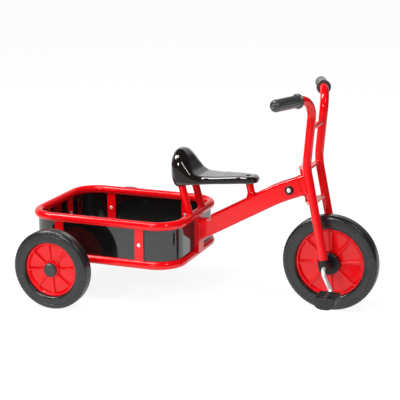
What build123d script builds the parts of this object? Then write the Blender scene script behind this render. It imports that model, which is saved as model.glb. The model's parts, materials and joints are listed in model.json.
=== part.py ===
from build123d import *
import os
from math import ceil, cos, radians, sin, sqrt

# Children's tricycle with a cargo tray. Millimetres, +X forward, +Y left, +Z up.
# Places below are measured from the front axle (x = 0), the middle plane (y = 0) and the ground (z = 0).
# The whole model is shifted along X at the end, so that its box is centred.

# Clearances
RUNNING = 0.05            # radial gap of a shaft that turns in a bore
SEAT_GAP = 0.1            # gap between welded, clamped or pressed pieces
END_PLAY = 0.3            # axial gap beside a turning piece
PAST = 1.0                # how far a cutting tool runs past what it cuts

# Wheels
FRONT_WHEEL_D = 280.0
REAR_WHEEL_D = 234.0
WHEELBASE = 751.0
REAR_TRACK = 547.0        # between the middle planes of the rear wheels
FRONT_RIM_D = 201.0
REAR_RIM_D = 160.0
TYRE_W = 40.0
TYRE_SHOULDER = 10.0      # radius of the tyre's outer corners
TYRE_BEVEL = 7.0          # bevel of the tyre's corners beside the rim
TONGUE_W = 14.0           # rib inside the tyre, held in the disc's groove
TONGUE_H = 5.0
RIM_HALF_W = 9.5          # half width of the disc's rim
RIM_T = 9.0               # rim below the groove
RIM_EDGE = 5.0            # flat edge of the rim, beside the tyre
RIM_SLOPE = 4.0           # foot of the rim's bevel, inside the rim
WEB_FACE = 3.2            # from the middle plane to the web's outer face
WEB_T = 3.0
RIB_COUNT = 8
RIB_T = 5.0
RIB_FACE = 9.0            # from the middle plane to the rib's top
RIB_ROOT = 2.0            # rib run into hub and rim
HUB_R = 24.0

# Front wheel drive
CRANK_ROD_D = 12.0
CRANK_LENGTH = 70.0
CRANK_ANGLE = 26.0        # right arm, forward of straight down
CRANK_BEND_R = 19.0
CRANK_PLANE_GAP = 20.0    # bearing holder to the arm's centre line
HUB_WALL = 6.0            # hub of the disc halves round the crank axle's bore
HUB_PROUD = 1.0           # hub beyond the ribs
FLANGE_R = 31.5           # black hub flange of the front wheel
FLANGE_T = 15.5
FLANGE_BEVEL = 2.0
FLANGE_BOSS_R = 20.0
FLANGE_BOSS_T = 8.0
COLLAR_R = 13.0
DRIVE_PIN_D = 4.0
PIN_SUNK = 0.5            # pin's ends below the collar
PEDAL_L = 68.0
PEDAL_W = 61.0
PEDAL_UP = 13.0           # spindle to the tread
PEDAL_DOWN = 21.0         # spindle to the rounded underside
PEDAL_CORNER = 5.0
PEDAL_SHIFT = 1.0         # end of the crank's bend to the pedal
PEDAL_POCKET = 9.0        # pocket for the lock washer and the cap
TREAD_SLOTS = 4           # in each of two columns
TREAD_SLOT_W = 6.0
TREAD_BAND = 12.0         # between the columns
TREAD_SLOT_DEPTH = 2.5
LOCK_T = 1.6              # push-on lock washers
LOCK_MARGIN = 3.0
LOCK_ROOM = 0.8           # pocket round the lock washer
PEDAL_CAP_T = 3.0
SPINDLE_TIP_GAP = 2.0     # spindle's end to the cap

# Fork and handlebar
RAKE = 11.6               # lean of the fork and head tube
FORK_TUBE_D = 25.0
FORK_TUBE_WALL = 1.8
FORK_SPACING = 123.0      # between the leg centre lines
LEG_END_GAP = 24.0        # front axle to the cut end of the leg
TYRE_CLEARANCE = 46.0     # front tyre to the lower crown plate's middle
CROWN_GAP = 98.5          # between the two crown plates
LEG_BEND_RISE = 10.0      # upper crown plate to the bend
LEG_BEND_R = 160.0
UPPER_LEAN = 4.8          # upper leg, forward of vertical
UPPER_LENGTH = 194.4
HANDLE_BEND_R = 58.0
HANDLE_SWEEP = 20.0
FLANGE_REACH = 70.0       # handlebar corner to the grip's flange
GRIP_LENGTH = 111.0
GRIP_D = 34.0
GRIP_END_EDGE = 4.0       # flat part of the grip's rounded end
GRIP_FLANGE_D = 42.0
GRIP_FLANGE_T = 6.0
GRIP_FLANGE_EDGE = 2.5
GRIP_END_WALL = 8.0
CROSSBAR_D = 15.0
CROSSBAR_AT = 107.0       # along the upper leg, from the bend
BEARING_EYE_R = 15.0
BEARING_W = 23.0
BEARING_NECK_STEP = 0.5   # neck inside the eye's faces
BEARING_PLUG = 26.0
STEER_OFFSET = 25.0       # steering axis behind the legs
CROWN_T = 6.0
CROWN_EAR = 7.0           # plate's half width at a leg, less than the leg's radius
CROWN_NOSE_R = 18.0       # plate around the steering pin
PIN_D = 16.0
PIN_HEAD_D = 28.0
PIN_HEAD_T = 9.0
PIN_END = 1.0             # pin beyond its nut
NUT_D = 27.0
NUT_T = 9.0
HEAD_TUBE_D = 34.0
HEAD_TUBE_WALL = 3.0
BUSH_FLANGE_T = 3.0
BUSH_FLANGE_STEP = 0.5    # bush flange inside the tube's outside
BUSH_LENGTH = 22.0

# Main beam
BEAM_H = 56.0
BEAM_W = 36.0
BEAM_CORNER = 8.0
BEAM_WALL = 2.0
BEAM_FRONT_RUN = 92.0     # steering axis to the bend
BEAM_FRONT_SLOPE = 21.8
BEAM_BEND_R = 450.0
BEAM_TAIL_RISE = 69.0     # bottom rail to the beam's middle at its rear end
TAIL_FLAT_L = 36.0        # flat-topped end under the top rail
TAIL_TOP_GAP = 1.0        # below the underside of the top rail
BEAM_BOLT_AT = 54.0       # bolt behind the steering axis, along the beam
BEAM_BOLT_D = 8.0
CUP_D = 25.0
CUP_T = 5.0
CUP_EDGE = 1.5
CUP_ROOM = 1.0            # cup round the bolt's head
BOLT_HEAD_D = 13.0
BOLT_HEAD_T = 4.0
BOLT_TIP = 1.0            # bolt's end inside its domed nut

# Tray
TRAY_LENGTH = 458.0       # between rail centre lines
TRAY_WIDTH = 363.0
TRAY_HEIGHT = 116.0
TRAY_OVERHANG = 119.5     # rear rail behind the rear axle
TRAY_ABOVE_AXLE = 12.0    # bottom rail above the rear axle
TRAY_CORNER_R = 75.0
RAIL_D = 25.0
RAIL_WALL = 1.6
PANEL_T = 2.5
POST_W = 27.5
POST_T = 4.0
POST_REAR_SPACE = 9.3     # rear corner to the first side post
POST_FRONT_SPACE = 16.0   # front corner to the second side post
REAR_POST_SPACE = 18.8    # corner to the posts of the rear wall
UPRIGHT_W = 40.0
UPRIGHT_T = 14.0
UPRIGHT_WALL = 2.5
SCREW_D = 6.0
SCREW_HEAD_D = 11.0
SCREW_HEAD_T = 3.5
SCREW_HEAD_EDGE = 1.0
SCREW_RISE = 58.5         # bottom rail to the panel screws
FLOOR_HEAD_T = 2.5        # flat screw heads sunk in the floor
FLOOR_T = 5.0
FLOOR_GAP = 3.0           # floor edge to the rail
FLOOR_RISE = 7.0          # bottom rail to the floor's top
CROSS_W = 20.0
CROSS_T = 12.0
CROSS_WALL = 1.6
CROSS_SPACE = 2.0         # tray's corner to the cross member
FLOOR_SCREW_PITCH = 220.0
AXLE_D = 14.0
AXLE_TUBE_WALL = 2.5

# Rear wheel hub
BUSH_WALL = 4.0
BUSH_LIP = 0.5            # bush beyond the hub's inner face
HUB_HALF = 11.5
CAP_R = 20.0
CAP_WALL = 2.0
CAP_BEVEL = 4.0
CAP_SEAT = 5.0            # depth of the cap's seat in the hub
CAP_PROUD = 12.0          # cap beyond the rim's face

# Seat
SEAT_RISE = 124.2         # top rail to the flat part of the saddle
SEAT_REACH = 193.0        # front rail to the saddle's nose
SEAT_FRONT_RISE = 5.0     # flat part to the saddle's top over the front post
SEAT_WALL = 4.0
SEAT_STEP = 10.0          # longest step between two sections
STRUT_D = 22.0
STRUT_WALL = 1.6
STRUT_SPACING = 98.0
STRUT_LEAN = 15.5
STRUT_SOCKET = 30.0       # length of strut inside the saddle
SOCKET_WALL = 3.5
SOCKET_MOUTH = 4.0        # saddle's rim to the socket
POST_D = 22.0             # front seat post
POST_LEAN = 12.0
POST_BACK = 32.0          # saddle nose to the post's top
POST_FLARE = 8.0
SEAT_SCREW_D = 8.0
SEAT_SCREW_L = 14.0       # screw inside the post
SEAT_SCREW_HEAD_D = 15.0
SEAT_SCREW_HEAD_T = 2.0
SEAT_SCREW_SUNK = 0.5     # screw head below the saddle's top

# Saddle sections from the nose to the back:
# distance behind the nose, half width, top and bottom above the flat part, top corner radius
SEAT_SECTIONS = [
    (1.5, 13.0, 0.5, -12.0, 4.0),
    (14.0, 27.0, 5.0, -13.5, 6.0),
    (50.0, 33.0, 5.0, -15.2, 7.0),
    (80.0, 39.0, 3.5, -17.0, 7.0),
    (140.0, 51.0, 0.5, -20.0, 8.0),
    (166.0, 59.0, 0.5, -21.5, 10.0),
    (184.0, 62.0, 8.0, -23.0, 16.0),
    (200.0, 63.0, 30.0, -25.5, 30.0),
    (215.0, 63.0, 56.0, -28.0, 46.0),
    (230.0, 62.0, 70.0, -30.5, 50.0),
    (242.0, 58.0, 72.0, -19.0, 50.0),
    (251.0, 50.0, 67.0, 1.0, 44.0),
    (257.0, 38.0, 57.0, 15.0, 34.0),
    (262.0, 24.0, 43.0, 22.5, 17.5),
]
STRUT_BACK = 222.0        # behind the nose, where the struts reach the saddle's rim

# Derived sizes and places
FRONT_R = FRONT_WHEEL_D / 2
REAR_R = REAR_WHEEL_D / 2
LEG_Y = FORK_SPACING / 2
WHEEL_Y = REAR_TRACK / 2
RAIL_R = RAIL_D / 2
FORK_R = FORK_TUBE_D / 2
ROD_R = CRANK_ROD_D / 2
AXLE_R = AXLE_D / 2
AXLE_TUBE_R = AXLE_R + RUNNING + AXLE_TUBE_WALL
REAR_BUSH_R = AXLE_R + RUNNING + BUSH_WALL
RAIL_REAR_X = -WHEELBASE - TRAY_OVERHANG
RAIL_FRONT_X = RAIL_REAR_X + TRAY_LENGTH
TRAY_MID_X = (RAIL_REAR_X + RAIL_FRONT_X) / 2
RAIL_Y = TRAY_WIDTH / 2
RAIL_LOW_Z = REAR_R + TRAY_ABOVE_AXLE
RAIL_TOP_Z = RAIL_LOW_Z + TRAY_HEIGHT
FRONT_AXLE = Vector(0, 0, FRONT_R)
UP_FORK = Vector(-sin(radians(RAKE)), 0, cos(radians(RAKE)))
AHEAD = Vector(cos(radians(RAKE)), 0, sin(radians(RAKE)))
CROWN_LOW = FRONT_R + TYRE_CLEARANCE
CROWN_HIGH = CROWN_LOW + CROWN_GAP
BEARING_OUT_Y = LEG_Y + BEARING_W / 2
BEARING_IN_Y = LEG_Y - BEARING_W / 2
COLLAR_END_Y = BEARING_IN_Y - END_PLAY
DRIVE_PIN_Y = COLLAR_END_Y - DRIVE_PIN_D
CRANK_Y = BEARING_OUT_Y + CRANK_PLANE_GAP
PEDAL_IN_Y = CRANK_Y + CRANK_BEND_R + PEDAL_SHIFT
PEDAL_OUT_Y = PEDAL_IN_Y + PEDAL_L
POCKET_Y = PEDAL_OUT_Y - PEDAL_POCKET
POCKET_R = ROD_R + LOCK_MARGIN + LOCK_ROOM
FRONT_HUB_HALF = RIB_FACE + HUB_PROUD
AXLE_TUBE_REACH = WHEEL_Y - HUB_HALF - BUSH_LIP - END_PLAY
UPRIGHT_BACK_X = RAIL_FRONT_X + PANEL_T / 2 + SEAT_GAP
UPRIGHT_FRONT_X = UPRIGHT_BACK_X + UPRIGHT_T
WALL_STRAIGHT = TRAY_CORNER_R + POST_W / 2
POST_XS = [RAIL_REAR_X + WALL_STRAIGHT + POST_REAR_SPACE, RAIL_FRONT_X - WALL_STRAIGHT - POST_FRONT_SPACE]
REAR_POST_Y = RAIL_Y - WALL_STRAIGHT - REAR_POST_SPACE
WALL_HALF_T = PANEL_T / 2 + SEAT_GAP / 2
SCREW_SEAT = WALL_HALF_T + POST_T + SEAT_GAP / 2
SCREW_Z = RAIL_LOW_Z + SCREW_RISE
FLOOR_TOP_Z = RAIL_LOW_Z + FLOOR_RISE
FLOOR_LOW_Z = FLOOR_TOP_Z - FLOOR_T
FLOOR_HEAD_Z = FLOOR_TOP_Z - FLOOR_HEAD_T - SEAT_GAP
CROSS_INSET = TRAY_CORNER_R + CROSS_SPACE + CROSS_W / 2
CROSS_XS = [RAIL_REAR_X + CROSS_INSET, RAIL_FRONT_X - CROSS_INSET]
BEAM_HEAD = FRONT_AXLE + UP_FORK * (CROWN_LOW + CROWN_GAP / 2) - AHEAD * STEER_OFFSET
BEAM_AHEAD = Vector(cos(radians(BEAM_FRONT_SLOPE)), 0, sin(radians(BEAM_FRONT_SLOPE)))
BEAM_KNEE = BEAM_HEAD - BEAM_AHEAD * BEAM_FRONT_RUN
BEAM_TAIL = Vector(UPRIGHT_FRONT_X, 0, RAIL_LOW_Z + BEAM_TAIL_RISE)
BEAM_DIR = (BEAM_KNEE - BEAM_TAIL).normalized()
BEAM_BOLT = BEAM_HEAD - BEAM_AHEAD * BEAM_BOLT_AT
TAIL_TOP_Z = RAIL_TOP_Z - RAIL_R - TAIL_TOP_GAP
BOLT_SEAT_Y = BEAM_W / 2 + SEAT_GAP + CUP_T / 2 + SEAT_GAP / 2
SEAT_Z = RAIL_TOP_Z + SEAT_RISE
SEAT_NOSE_X = RAIL_FRONT_X + SEAT_REACH
SEAT_FRONT_Z = SEAT_Z + SEAT_FRONT_RISE
STRUT_DIR = Vector(-sin(radians(STRUT_LEAN)), 0, cos(radians(STRUT_LEAN)))
POST_DIR = Vector(-sin(radians(POST_LEAN)), 0, cos(radians(POST_LEAN)))
POST_TOP = Vector(SEAT_NOSE_X - POST_BACK, 0, SEAT_FRONT_Z - SEAT_WALL - SEAT_GAP)
SIDES = {"left": 1, "right": -1}
ON_START = (Align.CENTER, Align.CENTER, Align.MIN)


def rod(start, end, radius):
    """Round solid between two points."""
    start, end = Vector(start), Vector(end)
    span = end - start
    return Plane(start, z_dir=span) * Cylinder(radius, span.length, align=ON_START)


def across(x, z, y_start, y_end, radius):
    """Round solid along Y."""
    return rod((x, y_start, z), (x, y_end, z), radius)


def block(x_low, x_high, y_low, y_high, z_low, z_high):
    """Box from its corners."""
    size = (x_high - x_low, y_high - y_low, z_high - z_low)
    middle = ((x_low + x_high) / 2, (y_low + y_high) / 2, (z_low + z_high) / 2)
    return Pos(*middle) * Box(*size)


def swept(path, section):
    """Section swept along a path that starts square to it."""
    return sweep(Plane(path @ 0, z_dir=path % 0) * section, path=path)


def pipe(path, diameter, wall):
    """Round tube along a path."""
    return swept(path, Circle(diameter / 2)) - swept(path, Circle(diameter / 2 - wall))


def turned(outline, at, y_sign=1):
    """Outline of (radius, y) points turned about a line along Y through a point."""
    face = make_face(Polyline(*[(r, y_sign * y, 0) for r, y in outline], close=True))
    return Pos(*at) * revolve(face, Axis.Y)


def one(parts):
    """Several solids kept apart in one piece."""
    return Compound([solid for part in parts for solid in part.solids()])


def largest(shape):
    """The main solid of a cut piece."""
    return max(shape.solids(), key=lambda solid: solid.volume)


def outer_edge(body, axis, end):
    """First or last round edge of a turned body along an axis."""
    return body.edges().filter_by(GeomType.CIRCLE).sort_by(axis)[end]


# Wheels


def tyre(wheel_r, rim_r, at):
    """Solid tyre with a tongue that sits in the disc's groove."""
    side = TYRE_W / 2
    tongue_r = rim_r - TONGUE_H
    half = [
        (tongue_r, TONGUE_W / 2), (rim_r, TONGUE_W / 2), (rim_r, side - TYRE_BEVEL), (rim_r + TYRE_BEVEL, side),
        (wheel_r, side),
    ]
    body = turned(half + [(r, -y) for r, y in reversed(half)], (0, 0, 0))
    edges = body.edges().filter_by(GeomType.CIRCLE)
    crown = [edge for edge in edges if abs(edge.radius - wheel_r) < SEAT_GAP]
    return Pos(*at) * fillet(crown, TYRE_SHOULDER)


def ribs(rim_r, y_low, y_high):
    """Radial ribs from the hub to the rim."""
    rib = block(HUB_R - RIB_ROOT, rim_r - RIM_EDGE - RIB_ROOT, y_low, y_high, -RIB_T / 2, RIB_T / 2)
    return [Rot(0, index * 360.0 / RIB_COUNT, 0) * rib for index in range(RIB_COUNT)]


def rim_outline(rim_r):
    """Outside of the rim from the web's face to the middle of the groove."""
    fit_r = rim_r - SEAT_GAP
    groove_y = TONGUE_W / 2 + SEAT_GAP
    return [
        (rim_r - TONGUE_H - RIM_T + RIM_SLOPE, WEB_FACE), (rim_r - RIM_EDGE, RIM_HALF_W), (fit_r, RIM_HALF_W),
        (fit_r, groove_y), (fit_r - TONGUE_H, groove_y),
    ]


def front_disc(y_sign):
    """Half of the front disc, from the middle plane outwards."""
    rim_r = FRONT_RIM_D / 2
    bore_r = ROD_R + SEAT_GAP
    inner_r = rim_r - TONGUE_H - RIM_T
    web_back = WEB_FACE - WEB_T
    hub_end = FRONT_HUB_HALF - SEAT_GAP
    outline = [(bore_r, 0), (bore_r, hub_end), (HUB_R, hub_end), (HUB_R, WEB_FACE)] + rim_outline(rim_r)
    outline += [(outline[-1][0], 0), (inner_r, 0), (inner_r, web_back)]
    outline += [(bore_r + HUB_WALL, web_back), (bore_r + HUB_WALL, 0)]
    half = turned(outline, (0, 0, 0), y_sign)
    half += ribs(rim_r, *sorted((y_sign * web_back, y_sign * RIB_FACE)))
    return Pos(*FRONT_AXLE) * half


def rear_disc(y_sign):
    """Rear disc in one piece: the web lies towards the outside, the ribs show on both sides."""
    rim_r = REAR_RIM_D / 2
    bore_r = REAR_BUSH_R + SEAT_GAP / 2
    inner_r = rim_r - TONGUE_H - RIM_T
    web_back = WEB_FACE - WEB_T
    rim = rim_outline(rim_r)
    outline = [(bore_r, -HUB_HALF), (bore_r, HUB_HALF), (HUB_R, HUB_HALF), (HUB_R, WEB_FACE)] + rim
    outline += [(r, -y) for r, y in reversed(rim[2:])]
    outline += [(inner_r, -RIM_HALF_W), (inner_r, web_back), (HUB_R, web_back), (HUB_R, -HUB_HALF)]
    disc = turned(outline, (0, 0, 0), y_sign)
    disc += ribs(rim_r, -RIB_FACE, RIB_FACE)
    bore_cut = across(0, 0, -HUB_HALF - PAST, HUB_HALF + PAST, bore_r)
    seat_cut = across(0, 0, y_sign * (HUB_HALF - CAP_SEAT), y_sign * (HUB_HALF + PAST), CAP_R + SEAT_GAP)
    return Pos(-WHEELBASE, y_sign * WHEEL_Y, REAR_R) * (disc - bore_cut - seat_cut)


def hub_flange(y_sign):
    """Black flange on the front hub, with the collar that is pinned to the crank axle."""
    bore_r = ROD_R + RUNNING
    face = FRONT_HUB_HALF + FLANGE_T
    boss = face + FLANGE_BOSS_T
    outline = [
        (bore_r, FRONT_HUB_HALF), (FLANGE_R, FRONT_HUB_HALF), (FLANGE_R, face - FLANGE_BEVEL),
        (FLANGE_R - FLANGE_BEVEL, face), (FLANGE_BOSS_R, face), (FLANGE_BOSS_R - FLANGE_BEVEL, boss),
        (COLLAR_R, boss), (COLLAR_R, COLLAR_END_Y), (bore_r, COLLAR_END_Y),
    ]
    return turned(outline, FRONT_AXLE, y_sign) - drive_pin(y_sign, SEAT_GAP)


def drive_pin(y_sign, gap=0.0):
    """Cross pin through collar and crank axle."""
    reach = COLLAR_R - PIN_SUNK if gap == 0.0 else COLLAR_R + PAST
    y = y_sign * DRIVE_PIN_Y
    return rod((-reach, y, FRONT_R), (reach, y, FRONT_R), DRIVE_PIN_D / 2 + gap)


def drive_pins():
    return one([drive_pin(y_sign) for y_sign in SIDES.values()])


def spindle(y_sign):
    """X and Z of a pedal spindle's axis. The two arms point opposite ways."""
    turn = radians(CRANK_ANGLE)
    reach = -y_sign * CRANK_LENGTH
    return reach * sin(turn), FRONT_R - reach * cos(turn)


def crank_axle():
    """One bent rod: axle, two arms and two pedal spindles."""
    tip_y = PEDAL_OUT_Y - PEDAL_CAP_T - SPINDLE_TIP_GAP
    points = []
    for y_sign in (-1, 1):
        x, z = spindle(y_sign)
        arm = [(x, y_sign * tip_y, z), (x, y_sign * CRANK_Y, z), (0, y_sign * CRANK_Y, FRONT_R)]
        points += arm if y_sign < 0 else arm[::-1]
    body = swept(FilletPolyline(*points, radius=CRANK_BEND_R), Circle(ROD_R))
    for y_sign in SIDES.values():
        body -= drive_pin(y_sign, SEAT_GAP)
    return body


def pedal_section():
    """Flat tread above, rounded underside."""
    half = PEDAL_W / 2
    side = PEDAL_UP - 2 * PEDAL_CORNER
    under = ThreePointArc((-half, side), (0, -PEDAL_DOWN), (half, side))
    tread = Polyline((half, side), (half, PEDAL_UP), (-half, PEDAL_UP), (-half, side))
    face = make_face(Curve() + [under, tread])
    return fillet(face.vertices().group_by(Axis.Y)[-1], PEDAL_CORNER)


def pedal(y_sign):
    """Pedal block that turns on its spindle, with a slotted tread."""
    x, z = spindle(y_sign)
    y_low = min(y_sign * PEDAL_IN_Y, y_sign * PEDAL_OUT_Y)
    place = Plane(origin=(x, y_low, z), x_dir=(1, 0, 0), z_dir=(0, -1, 0))
    body = extrude(place * pedal_section(), -PEDAL_L)
    body -= across(x, z, y_sign * (PEDAL_IN_Y - PAST), y_sign * (PEDAL_OUT_Y + PAST), ROD_R + RUNNING)
    body -= across(x, z, y_sign * POCKET_Y, y_sign * (PEDAL_OUT_Y + PAST), POCKET_R)
    pitch = PEDAL_L / (TREAD_SLOTS + 1)
    reach = PEDAL_W / 2 - PEDAL_CORNER
    for index in range(TREAD_SLOTS):
        y = y_low + pitch * (index + 1)
        for x_low, x_high in ((x - reach, x - TREAD_BAND / 2), (x + TREAD_BAND / 2, x + reach)):
            body -= block(
                x_low, x_high, y - TREAD_SLOT_W / 2, y + TREAD_SLOT_W / 2,
                z + PEDAL_UP - TREAD_SLOT_DEPTH, z + PEDAL_UP + PAST,
            )
    return body


def pedal_cap(y_sign):
    """Plug that closes the pedal's outer end."""
    x, z = spindle(y_sign)
    return across(x, z, y_sign * (PEDAL_OUT_Y - PEDAL_CAP_T), y_sign * PEDAL_OUT_Y, POCKET_R - SEAT_GAP / 2)


def lock_washer(x, z, y_sign, seat_y, shaft_r):
    """Push-on washer on the end of a shaft."""
    washer = across(x, z, y_sign * seat_y, y_sign * (seat_y + LOCK_T), shaft_r + LOCK_MARGIN)
    return washer - across(x, z, y_sign * (seat_y - PAST), y_sign * (seat_y + LOCK_T + PAST), shaft_r + SEAT_GAP / 2)


def pedal_locks():
    return one([lock_washer(*spindle(s), s, POCKET_Y + END_PLAY, ROD_R) for s in SIDES.values()])


def rear_bush(y_sign):
    """Plastic liner between the rear hub and the axle."""
    bore_r = AXLE_R + RUNNING
    low, high = -HUB_HALF - BUSH_LIP, HUB_HALF - CAP_SEAT
    outline = [(bore_r, low), (REAR_BUSH_R, low), (REAR_BUSH_R, high), (bore_r, high)]
    return turned(outline, (-WHEELBASE, y_sign * WHEEL_Y, REAR_R), y_sign)


def hub_cap(y_sign):
    """Black cap over the axle's end."""
    low = HUB_HALF - CAP_SEAT + SEAT_GAP
    top = RIM_HALF_W + CAP_PROUD
    inner_r = CAP_R - CAP_WALL
    under = top - CAP_WALL
    outline = [
        (inner_r, low), (CAP_R, low), (CAP_R, top - CAP_BEVEL), (CAP_R - CAP_BEVEL, top), (0, top),
        (0, under), (inner_r - CAP_BEVEL, under), (inner_r, under - CAP_BEVEL),
    ]
    return turned(outline, (-WHEELBASE, y_sign * WHEEL_Y, REAR_R), y_sign)


def axle_lock_washers():
    seat_y = WHEEL_Y + HUB_HALF - CAP_SEAT + END_PLAY
    return one([lock_washer(-WHEELBASE, REAR_R, s, seat_y, AXLE_R) for s in SIDES.values()])


def rear_axle():
    reach = WHEEL_Y + HUB_HALF
    return across(-WHEELBASE, REAR_R, -reach, reach, AXLE_R)


def axle_tube():
    outer = across(-WHEELBASE, REAR_R, -AXLE_TUBE_REACH, AXLE_TUBE_REACH, AXLE_TUBE_R)
    return outer - across(-WHEELBASE, REAR_R, -WHEEL_Y, WHEEL_Y, AXLE_R + RUNNING)


# Fork and handlebar


def steer_point(along):
    """Point on the steering axis, at a distance along the fork from the front axle."""
    return FRONT_AXLE + UP_FORK * along - AHEAD * STEER_OFFSET


def handle_dir(y_sign):
    return Vector(-sin(radians(HANDLE_SWEEP)), y_sign * cos(radians(HANDLE_SWEEP)), 0)


def leg_points(y_sign):
    """Corner points of one leg: cut end, bend, handlebar corner and the end inside the grip."""
    foot = FRONT_AXLE + Vector(0, y_sign * LEG_Y, 0)
    bend = foot + UP_FORK * (CROWN_HIGH + LEG_BEND_RISE)
    lean = radians(UPPER_LEAN)
    corner = bend + Vector(sin(lean), 0, cos(lean)) * UPPER_LENGTH
    tip = corner + handle_dir(y_sign) * (FLANGE_REACH + GRIP_LENGTH - GRIP_END_WALL - SEAT_GAP)
    return [foot + UP_FORK * LEG_END_GAP, bend, corner, tip]


def fork_leg(y_sign):
    """One bent tube from the wheel to the grip."""
    path = FilletPolyline(*leg_points(y_sign), radius=[LEG_BEND_R, HANDLE_BEND_R])
    return pipe(path, FORK_TUBE_D, FORK_TUBE_WALL)


def grip(y_sign):
    """Rubber grip with an inner flange and a rounded end."""
    start = leg_points(y_sign)[2] + handle_dir(y_sign) * FLANGE_REACH
    body = Cylinder(GRIP_D / 2, GRIP_LENGTH, align=ON_START)
    body = fillet(outer_edge(body, Axis.Z, -1), GRIP_D / 2 - GRIP_END_EDGE)
    flange = Cylinder(GRIP_FLANGE_D / 2, GRIP_FLANGE_T, align=ON_START)
    body += fillet(flange.edges().filter_by(GeomType.CIRCLE), GRIP_FLANGE_EDGE)
    bore = Cylinder(FORK_R + SEAT_GAP / 2, GRIP_LENGTH - GRIP_END_WALL + PAST, align=ON_START)
    return Plane(start, z_dir=handle_dir(y_sign)) * (body - Pos(0, 0, -PAST) * bore)


def bearing_holder(y_sign):
    """Plastic eye for the crank axle, plugged into the leg."""
    centre = FRONT_AXLE + Vector(0, y_sign * LEG_Y, 0)
    body = across(0, FRONT_R, y_sign * BEARING_IN_Y, y_sign * BEARING_OUT_Y, BEARING_EYE_R)
    body += rod(centre, centre + UP_FORK * (LEG_END_GAP - SEAT_GAP), BEARING_W / 2 - BEARING_NECK_STEP)
    body += rod(centre, centre + UP_FORK * (LEG_END_GAP + BEARING_PLUG), FORK_R - FORK_TUBE_WALL - SEAT_GAP)
    y_low, y_high = sorted((y_sign * (BEARING_IN_Y - PAST), y_sign * (BEARING_OUT_Y + PAST)))
    return body - across(0, FRONT_R, y_low, y_high, ROD_R + RUNNING)


def crown_plate(along):
    """Flat plate that carries both legs and the steering pin."""
    ears = [Pos(0, -LEG_Y), Pos(0, LEG_Y)]
    nose = Pos(-STEER_OFFSET, 0)
    ear_edges = [(ear * Circle(FORK_R - CROWN_EAR)).edge() for ear in ears]
    outline = make_hull(ear_edges + [(nose * Circle(CROWN_NOSE_R)).edge()])
    for ear in ears:
        outline -= ear * Circle(FORK_R + SEAT_GAP / 2)
    outline -= nose * Circle(PIN_D / 2 + SEAT_GAP / 2)
    place = Plane(FRONT_AXLE + UP_FORK * (along - CROWN_T / 2), x_dir=AHEAD, z_dir=UP_FORK)
    return extrude(place * outline, CROWN_T)


def handlebar_crossbar():
    """Thin bar between the legs, cut to their curve."""
    bend, corner = leg_points(1)[1:3]
    middle = bend + (corner - bend).normalized() * CROSSBAR_AT
    bar = across(middle.X, middle.Z, -LEG_Y, LEG_Y, CROSSBAR_D / 2)
    for y_sign in SIDES.values():
        bar -= rod(*leg_points(y_sign)[1:3], FORK_R + SEAT_GAP / 2)
    return bar


def steering_pin():
    """Bolt along the steering axis, head below the lower plate."""
    seat = CROWN_LOW - CROWN_T / 2 - SEAT_GAP
    end = CROWN_HIGH + CROWN_T / 2 + SEAT_GAP + NUT_T + PIN_END
    head = rod(steer_point(seat - PIN_HEAD_T), steer_point(seat), PIN_HEAD_D / 2)
    return head + rod(steer_point(seat - PAST), steer_point(end), PIN_D / 2)


def steering_nut():
    """Hexagon nut on the steering pin."""
    face = RegularPolygon(NUT_D / 2, 6) - Circle(PIN_D / 2 + SEAT_GAP / 2)
    place = Plane(steer_point(CROWN_HIGH + CROWN_T / 2 + SEAT_GAP), z_dir=UP_FORK)
    return extrude(place * face, NUT_T)


def head_ends():
    """Lower and upper end of the head tube along the steering axis."""
    room = CROWN_T / 2 + END_PLAY + BUSH_FLANGE_T
    return CROWN_LOW + room, CROWN_HIGH - room


def head_tube():
    low, high = head_ends()
    outer = rod(steer_point(low), steer_point(high), HEAD_TUBE_D / 2)
    return outer - rod(steer_point(low - PAST), steer_point(high + PAST), HEAD_TUBE_D / 2 - HEAD_TUBE_WALL)


def head_bush(end, inwards):
    """Flanged bush in one end of the head tube."""
    rim = end - inwards * BUSH_FLANGE_T
    tip = end + inwards * BUSH_LENGTH
    body = rod(steer_point(rim), steer_point(end), HEAD_TUBE_D / 2 - BUSH_FLANGE_STEP)
    body += rod(steer_point(rim), steer_point(tip), HEAD_TUBE_D / 2 - HEAD_TUBE_WALL - SEAT_GAP)
    return body - rod(steer_point(rim - inwards * PAST), steer_point(tip + inwards * PAST), PIN_D / 2 + RUNNING)


# Main beam


def beam_swept(inset):
    """Rounded box section along the beam's bent centre line, run past the upright."""
    path = FilletPolyline(BEAM_TAIL - BEAM_DIR * BEAM_H, BEAM_KNEE, BEAM_HEAD, radius=BEAM_BEND_R)
    section = RectangleRounded(BEAM_W - 2 * inset, BEAM_H - 2 * inset, BEAM_CORNER - inset)
    return sweep(Plane(path @ 0, x_dir=(0, 1, 0), z_dir=path % 0) * section, path=path)


def beam_shape(inset):
    """The beam with its rear end raised to a flat top under the top rail."""
    half_w = BEAM_W / 2 - inset
    back = UPRIGHT_FRONT_X - 2 * BEAM_H
    top = TAIL_TOP_Z - inset
    step = UPRIGHT_FRONT_X + TAIL_FLAT_L - inset
    tail = block(UPRIGHT_FRONT_X - BEAM_H, step, -half_w, half_w, BEAM_TAIL.Z, top)
    tail = fillet(tail.edges().filter_by(Axis.X).group_by(Axis.Z)[-1], BEAM_CORNER - inset)
    return beam_swept(inset) + tail - block(back, step, -BEAM_W, BEAM_W, top, top + 2 * BEAM_H)


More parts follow.
